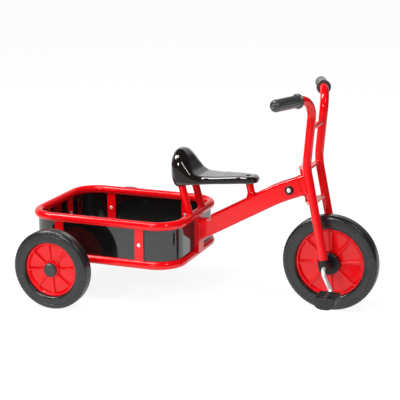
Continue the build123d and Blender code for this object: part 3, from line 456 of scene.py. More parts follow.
FINISHES = {
    Look.PAINT: Finish(
        Slot.RED_PAINT, (0.72, 0.002, 0.005), 0.06, ior=1.47, gloss=(35.0, 0.03),
        relief=(700.0, 90.0, 3.0)),
    Look.DISC: Finish(
        Slot.RED_PLASTIC, (0.74, 0.003, 0.006), 0.16, ior=1.45, tone=(25.0, 0.06),
        relief=(1500.0, 45.0, 3.0), depth=0.00003),
    Look.SADDLE: Finish(
        Slot.BLACK_GLOSS, (0.0075, 0.0045, 0.004), 0.06, coat=1.0, gloss=(30.0, 0.03),
        relief=(500.0, 22.0, 6.0)),
    Look.PANEL: Finish(
        Slot.BLACK_GLOSS, (0.004, 0.004, 0.004), 0.07, ior=1.75, gloss=(30.0, 0.04),
        relief=(500.0, 22.0, 6.0)),
    Look.FLOOR: Finish(
        Slot.BLACK_FLOOR, (0.010, 0.009, 0.009), 0.42, tone=(60.0, 0.5), relief=(420.0, 120.0, 1.0),
        depth=0.00012, marks=(25.0, 0.25), mark_colour=(0.05, 0.045, 0.04), ridges=36.0),
    Look.PLASTIC: Finish(
        Slot.BLACK_PLASTIC, (0.008, 0.008, 0.0084), 0.34, ior=1.42, gloss=(45.0, 0.1),
        relief=(1600.0, 80.0, 1.0), depth=0.00003),
    Look.PEDAL: Finish(
        Slot.BLACK_PLASTIC, (0.026, 0.026, 0.026), 0.55, ior=1.35, gloss=(45.0, 0.1),
        relief=(1300.0, 90.0, 1.0), depth=0.00005),
    Look.CAP: Finish(
        Slot.BLACK_PLASTIC, (0.034, 0.034, 0.035), 0.34, gloss=(45.0, 0.1), relief=(1600.0, 80.0, 1.0),
        depth=0.00004),
    # Painted shade: the near-black of the discs over the saddle's holes and of the trays in the pedal slots
    Look.PAINTED_SHADE: Finish(
        Slot.BLACK_PLASTIC, (0.003, 0.003, 0.003), 0.7, ior=1.15, relief=(900.0, 80.0, 1.0), depth=0.00003),
    Look.GRIP: Finish(
        Slot.GRIP_RUBBER, (0.046, 0.044, 0.044), 0.2, ior=1.6, relief=(2200.0, 200.0, 0.6), depth=0.00004),
    Look.TYRE: Finish(
        Slot.TYRE_RUBBER, (0.012, 0.013, 0.0126), 0.25, ior=1.55, tone=(30.0, 0.25), gloss=(26.0, 0.12),
        relief=(1400.0, 160.0, 0.8), depth=0.00005, marks=(18.0, 0.25), mark_colour=(0.06, 0.06, 0.057)),
    Look.STEEL: Finish(
        Slot.BRIGHT_STEEL, (0.93, 0.93, 0.93), 0.3, metallic=0.65, gloss=(60.0, 0.08),
        relief=(1800.0, 150.0, 1.0), depth=0.00001),
}
SLOT_LOOKS = {
    Slot.RED_PAINT: Look.PAINT, Slot.RED_PLASTIC: Look.DISC, Slot.BLACK_GLOSS: Look.PANEL,
    Slot.BLACK_FLOOR: Look.FLOOR, Slot.BLACK_PLASTIC: Look.PLASTIC, Slot.GRIP_RUBBER: Look.GRIP,
    Slot.TYRE_RUBBER: Look.TYRE, Slot.BRIGHT_STEEL: Look.STEEL,
}
NODE_LOOKS = {node: Look.CAP for node in both("hub_cap")}
SOFT_EDGES = {
    0.8 * MM: [
        "crown_plate_lower", "crown_plate_upper", "front_upright",
        *both("hub_flange"), *both("hub_cap"), *both("bearing_holder")],
    0.5 * MM: [
        "wall_posts_rear", "wall_strips", "cup_washers", "steering_nut", "steering_pin", "cross_members",
        *both("wall_posts")],
}


# Mesh making


@dataclass
class Skin:
    """Points and faces of a mesh under way."""

    points: list[Vector] = field(default_factory=list)
    faces: list[tuple[int, ...]] = field(default_factory=list)

    def grid(self, rows: Sequence[Sequence[Vector]], closed: bool = False) -> None:
        """Adds a grid of quads whose rows close on themselves.

        Args:
            rows: Rows of points, all of one length.
            closed: Whether the last row joins the first.
        """
        start, count, wide = len(self.points), len(rows), len(rows[0])
        for row in rows:
            self.points.extend(row)
        for i in range(count if closed else count - 1):
            here, there = start + i * wide, start + (i + 1) % count * wide
            for j in range(wide):
                beside = (j + 1) % wide
                self.faces.append((here + j, here + beside, there + beside, there + j))

    def lid(self, ring: Sequence[Vector]) -> None:
        """Adds one flat face over a ring.

        Args:
            ring: Points of the ring.
        """
        start = len(self.points)
        self.points.extend(ring)
        self.faces.append(tuple(range(start, start + len(ring))))

    def rod(self, rows: Sequence[Sequence[Vector]]) -> None:
        """Adds a grid with a lid at each end.

        Args:
            rows: Rows of points, all of one length.
        """
        self.grid(rows)
        self.lid(rows[0])
        self.lid(rows[-1])

    def piece(self, name: str, sharp: float = 32.0) -> bpy.types.Object:
        """Makes the object.

        Args:
            name: Name of the object.
            sharp: Angle in degrees above which an edge stays sharp.

        Returns:
            The new object in the scene.
        """
        mesh = bpy.data.meshes.new(name)
        mesh.from_pydata([tuple(p) for p in self.points], [], self.faces)
        piece = bpy.data.objects.new(name, mesh)
        bpy.context.scene.collection.objects.link(piece)
        merge_and_face_out(mesh)
        mesh.shade_smooth()
        mesh.set_sharp_from_angle(angle=math.radians(sharp))
        return piece


def merge_and_face_out(mesh: bpy.types.Mesh) -> None:
    """Joins points that lie on each other and turns all faces outwards.

    Args:
        mesh: The mesh.
    """
    work = bmesh.new()
    work.from_mesh(mesh)
    bmesh.ops.remove_doubles(work, verts=work.verts, dist=MERGE_DISTANCE)
    bmesh.ops.recalc_face_normals(work, faces=work.faces)
    work.to_mesh(mesh)
    work.free()


def circle(middle: Vector, along: Vector, radius: float, count: int) -> list[Vector]:
    """Spaces points evenly on a circle.

    Args:
        middle: Centre of the circle.
        along: Direction square to it.
        radius: Its radius.
        count: How many points.

    Returns:
        The points.
    """
    guide = Vector((0.0, 0.0, 1.0)) if abs(along.z) < STEEP else Vector((1.0, 0.0, 0.0))
    across = along.cross(guide).normalized()
    rise = along.cross(across).normalized()
    turns = [2 * math.pi * i / count for i in range(count)]
    return [middle + across * (radius * math.cos(t)) + rise * (radius * math.sin(t)) for t in turns]


def quarter(steps: int) -> list[float]:
    """Returns the angles of a quarter turn in even steps, from nought on."""
    return [math.radians(90.0 / steps * step) for step in range(steps + 1)]


def leaning(degrees: float) -> Vector:
    """Returns the upward direction that leans back by an angle."""
    turn = math.radians(degrees)
    return Vector((-math.sin(turn), 0.0, math.cos(turn)))


@dataclass
class Workshop:
    """Gives pieces their finish and body."""

    nodes: dict[str, bpy.types.Object]
    soft_segments: int = 2
    soft_angle: float = math.radians(38.0)

    def __post_init__(self) -> None:
        """Builds the finishes."""
        effects = Effects()
        self.materials = {look: finish.material(look.value, effects) for look, finish in FINISHES.items()}

    def paint(self, piece: bpy.types.Object, look: Look) -> None:
        """Gives a piece one finish."""
        piece.data.materials.clear()
        piece.data.materials.append(self.materials[look])

    def dress_frame(self, subparts: Sequence[dict]) -> None:
        """Gives each solid node the finish of its slot.

        Args:
            subparts: Nodes and slots of the record.
        """
        for entry in subparts:
            look = NODE_LOOKS.get(entry["node"], SLOT_LOOKS[Slot(entry["material_slot"])])
            self.paint(self.nodes[entry["node"]], look)

    def soften(self, names: Sequence[str], width: float) -> None:
        """Rounds the sharp edges of some solids.

        Args:
            names: The solids.
            width: Width of the rounded edge.
        """
        for name in names:
            edge = self.nodes[name].modifiers.new("soft_edge", "BEVEL")
            edge.width = width
            edge.segments = self.soft_segments
            edge.limit_method = "ANGLE"
            edge.angle_limit = self.soft_angle
            edge.harden_normals = True

    def fit(self, piece: bpy.types.Object, body: Body, look: Look, stands_for: Sequence[str] = ()) -> None:
        """Puts a finished piece on its body.

        Args:
            piece: The piece, in place.
            body: Body that carries it.
            look: Its finish.
            stands_for: Nodes that it replaces.
        """
        self.paint(piece, look)
        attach(piece, body.value)
        if stands_for:
            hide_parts(*stands_for)
        LOG.info("%s on %s, %d faces", piece.name, body.value, len(piece.data.polygons))


# Wheels


@dataclass
class Tyre:
    """Solid rubber tyre with a grooved tread and notched shoulders."""

    tag: str
    body: Body
    node: str
    rim_radius: float
    notches: int
    rim_gap: float = 0.1 * MM
    rim_reach: float = 0.3
    shoulder: float = 10.0 * MM
    shoulder_steps: int = 12
    bead: float = 7.0 * MM
    bead_steps: int = 8
    groove_at: float = 5.0 * MM
    groove_half: float = 1.2 * MM
    groove_depth: float = 1.6 * MM
    groove_lip: float = 1.6
    notch_half: float = 1.5 * MM
    notch_depth: float = 1.2 * MM
    notch_lip: float = 1.3
    notch_steps: tuple[int, int] = (2, 10)
    notch_blend: float = 1.5
    between_notches: Pair = (0.4, 0.6)
    line_below: float = 14.0 * MM
    line_depth: float = 0.5 * MM
    line_rows: tuple[Pair, ...] = ((0.0, 0.0), (0.4, 1.0), (1.0, 1.0), (1.4, 0.0))
    sharp: float = 40.0

    def __post_init__(self) -> None:
        """Reads the tyre's place from its solid."""
        low, high = (Vector(corner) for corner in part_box(self.node))
        self.centre = (low + high) / 2
        self.radius = self.centre.z
        self.half_width = (high.y - low.y) / 2

    def place(self, radius: float, turn: float, y: float) -> Vector:
        """Returns the point at a radius, an angle and a distance from the wheel's middle plane."""
        return self.centre + Vector((radius * math.cos(turn), y, radius * math.sin(turn)))

    def profile(self) -> list[Triple]:
        """Draws half the section from the tread to the rim.

        Returns:
            Points as (radius, y, share of the notch).
        """
        top, side, rim = self.radius, self.half_width, self.rim_radius + self.rim_gap
        flat = side - self.shoulder
        rows = [(top, 0.0, 0.0)]
        for offset, deep in ((-self.groove_lip, 0.0), (-1.0, 1.0), (1.0, 1.0), (self.groove_lip, 0.0)):
            rows.append((top - deep * self.groove_depth, self.groove_at + offset * self.groove_half, 0.0))
        rows.append((top, flat, 0.0))
        first, last = self.notch_steps
        for step, lean in enumerate(quarter(self.shoulder_steps)[-2::-1], 1):
            share = min(1.0, max(0.0, min(step - first, last - step) / self.notch_blend))
            drop, out = self.shoulder * (1 - math.sin(lean)), self.shoulder * math.cos(lean)
            rows.append((top - drop, flat + out, share))
        line = top - self.line_below
        for drop, sunk in self.line_rows:
            rows.append((line - drop * MM, side - sunk * self.line_depth, 0.0))
        rows.append((0.5 * (line + self.rim_radius + self.bead), side, 0.0))
        for lean in quarter(self.bead_steps):
            rise, inward = self.bead * (1 - math.sin(lean)), self.bead * (1 - math.cos(lean))
            rows.append((rim + rise, side - inward, 0.0))
        rows.append((rim, self.rim_reach * side, 0.0))
        return rows

    def columns(self) -> list[Pair]:
        """Spaces the notches round the tyre.

        Returns:
            Columns as (angle, share of the notch's depth).
        """
        pitch = 2 * math.pi / self.notches
        edge = self.notch_half / self.radius
        steps = [(-self.notch_lip * edge, 0.0), (-edge, 1.0), (edge, 1.0), (self.notch_lip * edge, 0.0)]
        steps += [(share * pitch, 0.0) for share in self.between_notches]
        return [(i * pitch + offset, depth) for i in range(self.notches) for offset, depth in steps]

    def build(self, shop: Workshop) -> None:
        """Builds the tyre.

        Args:
            shop: Workshop that finishes it.
        """
        half = self.profile()
        whole = [(r, -y, n) for r, y, n in reversed(half[1:])] + half
        columns = self.columns()
        flat = self.half_width - self.shoulder
        rows = []
        for radius, y, share in whole:
            middle = Vector((self.radius - self.shoulder, math.copysign(flat, y)))
            out = (Vector((radius, y)) - middle).normalized() if share else Vector((0.0, 0.0))
            row = []
            for turn, depth in columns:
                sunk = out * (share * depth * self.notch_depth)
                row.append(self.place(radius - sunk.x, turn, y - sunk.y))
            rows.append(row)
        skin = Skin()
        skin.grid(rows, closed=True)
        shop.fit(skin.piece(f"{self.tag}_tyre_rubber", self.sharp), self.body, Look.TYRE, [self.node])


@dataclass
class WheelDisc:
    """Moulded disc with radial ribs, a raised hub and a bevelled rim on each side.

    The rows of an edge are steps from its corner, outwards and upwards, in millimetres. Those of a foot are
    such steps in shares of the fillet.
    """

    tag: str
    body: Body
    centre: Vector
    rim_radius: float
    stands_for: Sequence[str]
    bore: float
    hub_half: float
    outward: int
    cap_seat: float = 0.0
    cap_radius: float = 20.1 * MM
    seat_edge: float = 0.4 * MM
    back_web: float | None = None
    ribs: int = 8
    phase: float = math.radians(5.5)
    rib_half: float = 2.5 * MM
    rib_face: float = 9.0 * MM
    rib_round: Pair = (0.35 * MM, 0.9 * MM)
    web_face: float = 1.2 * MM
    web_steps: int = 6
    rim_half: float = 9.5 * MM
    rim_edge: float = 5.0 * MM
    rim_foot: float = 10.0 * MM
    rim_gap: float = 0.1 * MM
    back_foot: float = 14.0 * MM
    back_rise: float = 0.6 * MM
    hub_radius: float = 24.0 * MM
    hub_draft: float = 0.2 * MM
    fillet: float = 1.3 * MM
    fillet_share: float = 0.35
    sector_steps: int = 6
    sharp: float = 38.0
    hub_rows: tuple[Pair, ...] = ((-0.9, 0.0), (-0.3, -0.25), (0.0, -0.9))
    hub_foot_rows: tuple[Pair, ...] = ((0.35, 0.4), (1.0, 0.0))
    rim_foot_rows: tuple[Pair, ...] = ((-1.0, 0.0), (-0.3, 0.3), (0.0, 1.0))
    edge_rows: tuple[Pair, ...] = ((-0.2, -0.9), (0.15, -0.3), (0.7, 0.0))
    rim_rows: tuple[Pair, ...] = ((-1.0, 0.0), (-0.3, -0.3), (-0.1, -1.0))

    def columns(self, web: float) -> list[tuple[float, float, float, float]]:
        """Spaces the ribs round the disc.

        Args:
            web: Height of the web.

        Returns:
            Columns as (angle of the rib, distance beside it, share of the way to the next rib, height).
        """
        half, soft, face = self.rib_half, self.fillet, self.rib_face
        part, (near, far) = self.fillet_share * soft, self.rib_round
        flank = [(half + soft, web), (half + part, web + part), (half, web + soft)]
        flank += [(half - near, face - near), (half - far, face)]
        found = []
        for index in range(self.ribs):
            angle = self.phase + index * (2 * math.pi / self.ribs)
            found += [(angle, -beside, 0.0, height) for beside, height in flank]
            found += [(angle, beside, 0.0, height) for beside, height in reversed(flank)]
            shares = [step / self.sector_steps for step in range(1, self.sector_steps)]
            found += [(angle, half + soft, share, web) for share in shares]
        return found

    def profile(self, web: float, foot: float, edge: float, seat: float) -> list[Pair]:
        """Draws the section of one face from the bore to the middle of the rim.

        Args:
            web: Height of the web.
            foot: Radius of the rim's foot.
            edge: Radius of the rim's inner edge.
            seat: Depth of the cap's seat in the hub.

        Returns:
            Points as (radius, height).
        """
        hub, wide, rim, soft = self.hub_half, self.hub_radius, self.rim_radius, self.fillet
        rows = [(self.bore, hub - seat)]
        if seat > 0.0:
            rows += [(self.cap_radius, hub - seat), (self.cap_radius, hub - self.seat_edge)]
            rows += [(self.cap_radius + self.seat_edge, hub)]
        rows += [(wide + out * MM, hub + lift * MM) for out, lift in self.hub_rows]
        rows += [(wide + self.hub_draft, web + soft)]
        rows += [(wide + out * soft, web + lift * soft) for out, lift in self.hub_foot_rows]
        inner, outer, steps = wide + 2 * soft, foot - 2 * soft, self.web_steps
        rows += [(inner + (outer - inner) * step / steps, web) for step in range(steps + 1)]
        rows += [(foot + out * soft, web + lift * soft) for out, lift in self.rim_foot_rows]
        rows += [(edge + out * MM, self.rim_half + lift * MM) for out, lift in self.edge_rows]
        rows += [(rim + out * MM, self.rim_half + lift * MM) for out, lift in self.rim_rows]
        return rows + [(rim - self.rim_gap, 0.0)]

    def face(self, rows: Sequence[Pair], web: float, side: int) -> list[list[Vector]]:
        """Lays the points of one face.

        Args:
            rows: Section of the face.
            web: Height of the web.
            side: Direction of the face along Y.

        Returns:
            Rows of points.
        """
        columns = self.columns(web)
        grid = []
        for radius, height in rows:
            ribbed = self.hub_radius < radius < self.rim_radius - self.rim_edge
            row = []
            for angle, beside, share, rise in columns:
                level = max(height, rise) if ribbed else height
                lean = math.asin(beside / max(radius, self.hub_radius))
                turn = angle + lean + share * (2 * math.pi / self.ribs - 2 * lean)
                out = Vector((radius * math.cos(turn), side * level, radius * math.sin(turn)))
                row.append(self.centre + out)
            grid.append(row)
        return grid

    def build(self, shop: Workshop) -> None:
        """Builds the disc in one piece.

        Args:
            shop: Workshop that finishes it.
        """
        rim = self.rim_radius
        rows = self.profile(self.web_face, rim - self.rim_foot, rim - self.rim_edge, self.cap_seat)
        front = self.face(rows, self.web_face, self.outward)
        if self.back_web is None:
            back = self.face(rows, self.web_face, -self.outward)
        else:
            foot = rim - self.back_foot
            rows = self.profile(self.back_web, foot, foot + self.back_rise, 0.0)
            back = self.face(rows, self.back_web, -self.outward)
        skin = Skin()
        skin.grid(front + back[::-1], closed=True)
        shop.fit(skin.piece(f"{self.tag}_ribbed_disc", self.sharp), self.body, Look.DISC, self.stands_for)


@dataclass
class Wheels:
    """The three wheels."""

    front_rim: float = 100.5 * MM
    front_hub: float = 9.9 * MM
    front_bore: float = 6.8 * MM
    front_notches: int = 72
    rear_rim: float = 80.0 * MM
    rear_hub: float = 11.5 * MM
    rear_bore: float = 11.2 * MM
    rear_notches: int = 60
    cap_seat: float = 5.0 * MM
    back_web: float = 1.3 * MM

    def build(self, shop: Workshop) -> None:
        """Builds tyres and discs.

        Args:
            shop: Workshop that finishes them.
        """
        tyre = Tyre("front", Body.FRONT_WHEEL, "front_tyre", self.front_rim, self.front_notches)
        tyre.build(shop)
        disc = WheelDisc(
            "front", Body.FRONT_WHEEL, tyre.centre, self.front_rim, both("front_disc"), self.front_bore,
            self.front_hub, 1)
        disc.build(shop)
        for side, sign in SIDES.items():
            body = Body(f"rear_wheel_{side}")
            tyre = Tyre(f"rear_{side}", body, f"rear_tyre_{side}", self.rear_rim, self.rear_notches)
            tyre.build(shop)
            disc = WheelDisc(
                f"rear_{side}", body, tyre.centre, self.rear_rim, [f"rear_disc_{side}"], self.rear_bore,
                self.rear_hub, sign, cap_seat=self.cap_seat, back_web=self.back_web)
            disc.build(shop)


# Saddle


@dataclass
class Saddle:
    """Glossy moulded saddle with a raised back, hollow underneath.

    Distances behind the nose are in millimetres. A row of the table gives such a distance, and then half
    width, top, bottom and corner radius there. The rows of the collars are (distance up the strut, radius),
    those of a shade disc (share of its radius, lift), and those of the ends (share of the section, reach).
    A shade disc is a dark disc over a hole in the top: painted shade for the dark inside of the hole.
    """

    nose_x: float = 152.0 * MM
    flat_z: float = 369.2 * MM
    wall: float = 4.0 * MM
    step: float = 2.5
    lip: float = 1.2 * MM
    lip_share: float = 0.2
    lip_edge: Pair = (0.35, 0.3)
    hollow: tuple[float, float, float, float] = (14.0, 26.0, 246.0, 257.0)
    least_flat: float = 1.0 * MM
    least_side: float = 0.5 * MM
    side_steps: int = 4
    corner_steps: int = 10
    sharp: float = 50.0
    bevel: float = 0.85
    bevel_below: float = 12.0 * MM
    bevel_over: float = 4.0 * MM
    end_rows: tuple[Pair, ...] = ((0.93, 0.7), (0.75, 1.3), (0.4, 1.5))
    strut_y: float = 49.0 * MM
    strut_foot: Pair = (-41.0 * MM, 245.0 * MM)
    strut_lean: float = 15.5
    collar_back: float = 222.0
    collar_lift: float = 3.0 * MM
    collar_points: int = 32
    collar_rows: tuple[Pair, ...] = (
        (0.0, 11.1), (0.0, 12.3), (1.0, 12.8), (26.0, 12.8), (30.0, 11.5), (30.5, 4.0))
    # Dark discs sit over the screw hole and the two pairs of small holes: painted shade for the dark inside
    # of each hole
    screw_back: float = 32.0
    screw_radius: float = 7.5 * MM
    holes: Pair = (84.0, 98.0)
    hole_y: float = 9.0 * MM
    hole_radius: float = 2.6 * MM
    shade_disc_points: int = 24
    shade_disc_rows: tuple[Pair, ...] = ((1.05, -0.6), (1.03, 0.04), (1.0, 0.1), (0.8, 0.14), (0.3, 0.14))
    table: tuple[tuple[float, ...], ...] = (
        (1.5, 13.0, 0.5, -12.0, 4.0), (14.0, 27.0, 5.0, -13.5, 5.0), (50.0, 33.0, 5.0, -15.2, 5.0),
        (80.0, 39.0, 3.5, -17.0, 5.0), (140.0, 51.0, 0.5, -20.0, 6.0), (166.0, 59.0, 0.5, -21.5, 10.0),
        (184.0, 62.0, 8.0, -23.0, 16.0), (200.0, 63.0, 30.0, -25.5, 30.0), (215.0, 63.0, 56.0, -28.0, 46.0),
        (230.0, 62.0, 70.0, -30.5, 50.0), (242.0, 58.0, 72.0, -19.0, 50.0), (251.0, 50.0, 67.0, 1.0, 44.0),
        (257.0, 38.0, 57.0, 15.0, 34.0), (262.0, 24.0, 43.0, 22.5, 17.5),
    )

    def slope(self, index: int, column: int) -> float:
        """Finds how fast a column changes at a row of the table, level at a crest.

        Args:
            index: The row.
            column: The column.

        Returns:
            The slope.
        """
        spans = []
        for low in (index - 1, index):
            if 0 <= low < len(self.table) - 1:
                near, far = self.table[low], self.table[low + 1]
                spans.append((far[column] - near[column]) / (far[0] - near[0]))
        if min(spans) * max(spans) <= 0.0:
            return 0.0
        return len(spans) / sum(1.0 / span for span in spans)

    def sizes(self, back: float) -> tuple[float, float, float, float]:
        """Reads the section's sizes off a smooth curve through the table.

        Args:
            back: Distance behind the nose.

        Returns:
            Half width, top, bottom and corner radius, in metres.
        """
        index = max(i for i, row in enumerate(self.table[:-1]) if row[0] <= back or i == 0)
        near, far = self.table[index], self.table[index + 1]
        width = far[0] - near[0]
        t = (back - near[0]) / width
        found = []
        for column in range(1, 5):
            rise = (3 - 2 * t) * t**2 * (far[column] - near[column])
            leave = t * (1 - t)**2 * width * self.slope(index, column)
            arrive = t**2 * (t - 1) * width * self.slope(index + 1, column)
            found.append((near[column] + rise + leave + arrive) * MM)
        return tuple(found)

    def arch(self, half: float, top: float, low: float, corner: float) -> list[Pair]:
        """Draws an arch whose small corners are bevelled and whose large ones are round.

        Args:
            half: Half its width.
            top: Height of its top.
            low: Height of its feet.
            corner: Radius of its corners, as far as they fit.

        Returns:
            Points as (y, z) from one foot over the top to the other.
        """
        r = min(corner, half - self.least_flat, top - low - self.least_side)
        left = [(-half, low + (top - r - low) * i / self.side_steps) for i in range(self.side_steps)]
        bevel = self.bevel * min(1.0, max(0.0, (self.bevel_below - corner) / self.bevel_over))
        for i, turn in enumerate(quarter(self.corner_steps)):
            even = i / self.corner_steps
            across = 1 - math.cos(turn) + bevel * (even - 1 + math.cos(turn))
            drop = 1 - math.sin(turn) + bevel * (math.sin(turn) - even)
            left.append((-half + r * across, top - r * drop))
        flat = [((half - r) * (i / self.side_steps - 1), top) for i in range(1, self.side_steps)]
        right = [(-y, z) for y, z in reversed(left)]
        return left + flat + [(0.0, top)] + [(-y, z) for y, z in reversed(flat)] + right

    def ring(self, back: float) -> list[Pair]:
        """Draws the closed section: outside, lip and inside.

        Args:
            back: Distance behind the nose.

        Returns:
            Points as (y, z).
        """
        half, top, low, corner = self.sizes(back)
        start, full, shrink, end = self.hollow
        share = min(1.0, max(0.0, min((back - start) / (full - start), (end - back) / (end - shrink))))
        share *= share * (3 - 2 * share)
        lip = min(self.lip, self.lip_share * (top - low))
        outside = self.arch(half, top, low + lip, corner)
        inside = self.arch(half - self.wall, top - self.wall, low, corner)
        inside = [(y, low + share * (z - low)) for y, z in inside]
        inward, rise = self.lip_edge
        edge = [(half - inward * lip, low + rise * lip), (half - lip, low)]
        return outside + edge + inside[::-1] + [(-y, z) for y, z in reversed(edge)]

    def place(self, back: float, y: float, z: float) -> Vector:
        """Returns the point at a distance behind the nose."""
        return Vector((self.nose_x - back * MM, y, self.flat_z + z))

    def foot(self, sign: int) -> Vector:
        """Returns the foot of the strut on one side."""
        return Vector((self.strut_foot[0], sign * self.strut_y, self.strut_foot[1]))

    def rounded_end(self, end: Sequence[Vector], ahead: int) -> list[list[Vector]]:
        """Draws in the last section to a rounded end.

        Args:
            end: The last section.
            ahead: 1 at the nose and -1 at the back.

        Returns:
            Rows of points from that section on.
        """
        middle = sum(end, Vector()) / len(end)
        rows = []
        for scale, reach in self.end_rows:
            shift = Vector((ahead * reach * MM, 0.0, 0.0))
            rows.append([middle + (p - middle) * scale + shift for p in end])
        return rows

    def shell(self) -> Skin:
        """Makes the shell with rounded ends.

        Returns:
            The shell's skin.
        """
        first, last = self.table[0][0], self.table[-1][0]
        count = round((last - first) / self.step)
        backs = [first + (last - first) * i / count for i in range(count + 1)]
        rows = [[self.place(back, y, z) for y, z in self.ring(back)] for back in backs]
        skin = Skin()
        skin.rod(self.rounded_end(rows[0], 1)[::-1] + rows + self.rounded_end(rows[-1], -1))
        return skin

    def collars(self, skin: Skin) -> None:
        """Adds the sockets that hold the struts, inside the hollow.

        Args:
            skin: Skin that gets them.
        """
        along = leaning(self.strut_lean)
        low = self.flat_z + self.sizes(self.collar_back)[2] + self.collar_lift
        for sign in SIDES.values():
            foot = self.foot(sign)
            start = (low - foot.z) / along.z
            rows = []
            for reach, radius in self.collar_rows:
                middle = foot + along * (start + reach * MM)
                rows.append(circle(middle, along, radius * MM, self.collar_points))
            skin.grid(rows)
            skin.lid(rows[-1])

    def shade_disc(self, back: float, y: float, radius: float) -> Skin:
        """Makes a flat round dark disc over a hole in the saddle's top, painted shade for the hole's dark
        inside.

        Args:
            back: Distance behind the nose.
            y: Place across the saddle.
            radius: Radius of the disc.

        Returns:
            The disc's skin.
        """
        top = self.place(back, y, self.sizes(back)[1])
        up = Vector((0.0, 0.0, 1.0))
        rows = []
        for share, lift in self.shade_disc_rows:
            rows.append(circle(top + up * (lift * MM), up, share * radius, self.shade_disc_points))
        skin = Skin()
        skin.rod(rows)
        return skin

    def build(self, shop: Workshop) -> None:
        """Builds the saddle and the dark discs that paint the shade in its holes.

        Args:
            shop: Workshop that finishes them.
        """
        skin = self.shell()
        self.collars(skin)
        shop.fit(skin.piece("moulded_saddle", self.sharp), Body.FRAME, Look.SADDLE, ["seat_shell"])
        # Painted shade: dark discs over the holes stand in for their dark inside
        shade_disc = self.shade_disc(self.screw_back, 0.0, self.screw_radius)
        shop.fit(shade_disc.piece("saddle_screw_hole_shade"), Body.FRAME, Look.PAINTED_SHADE)
        for row, back in enumerate(self.holes):
            for side, sign in SIDES.items():
                shade_disc = self.shade_disc(back, sign * self.hole_y, self.hole_radius)
                shop.fit(shade_disc.piece(f"saddle_hole_shade_{row}_{side}"), Body.FRAME, Look.PAINTED_SHADE)


# Pedals


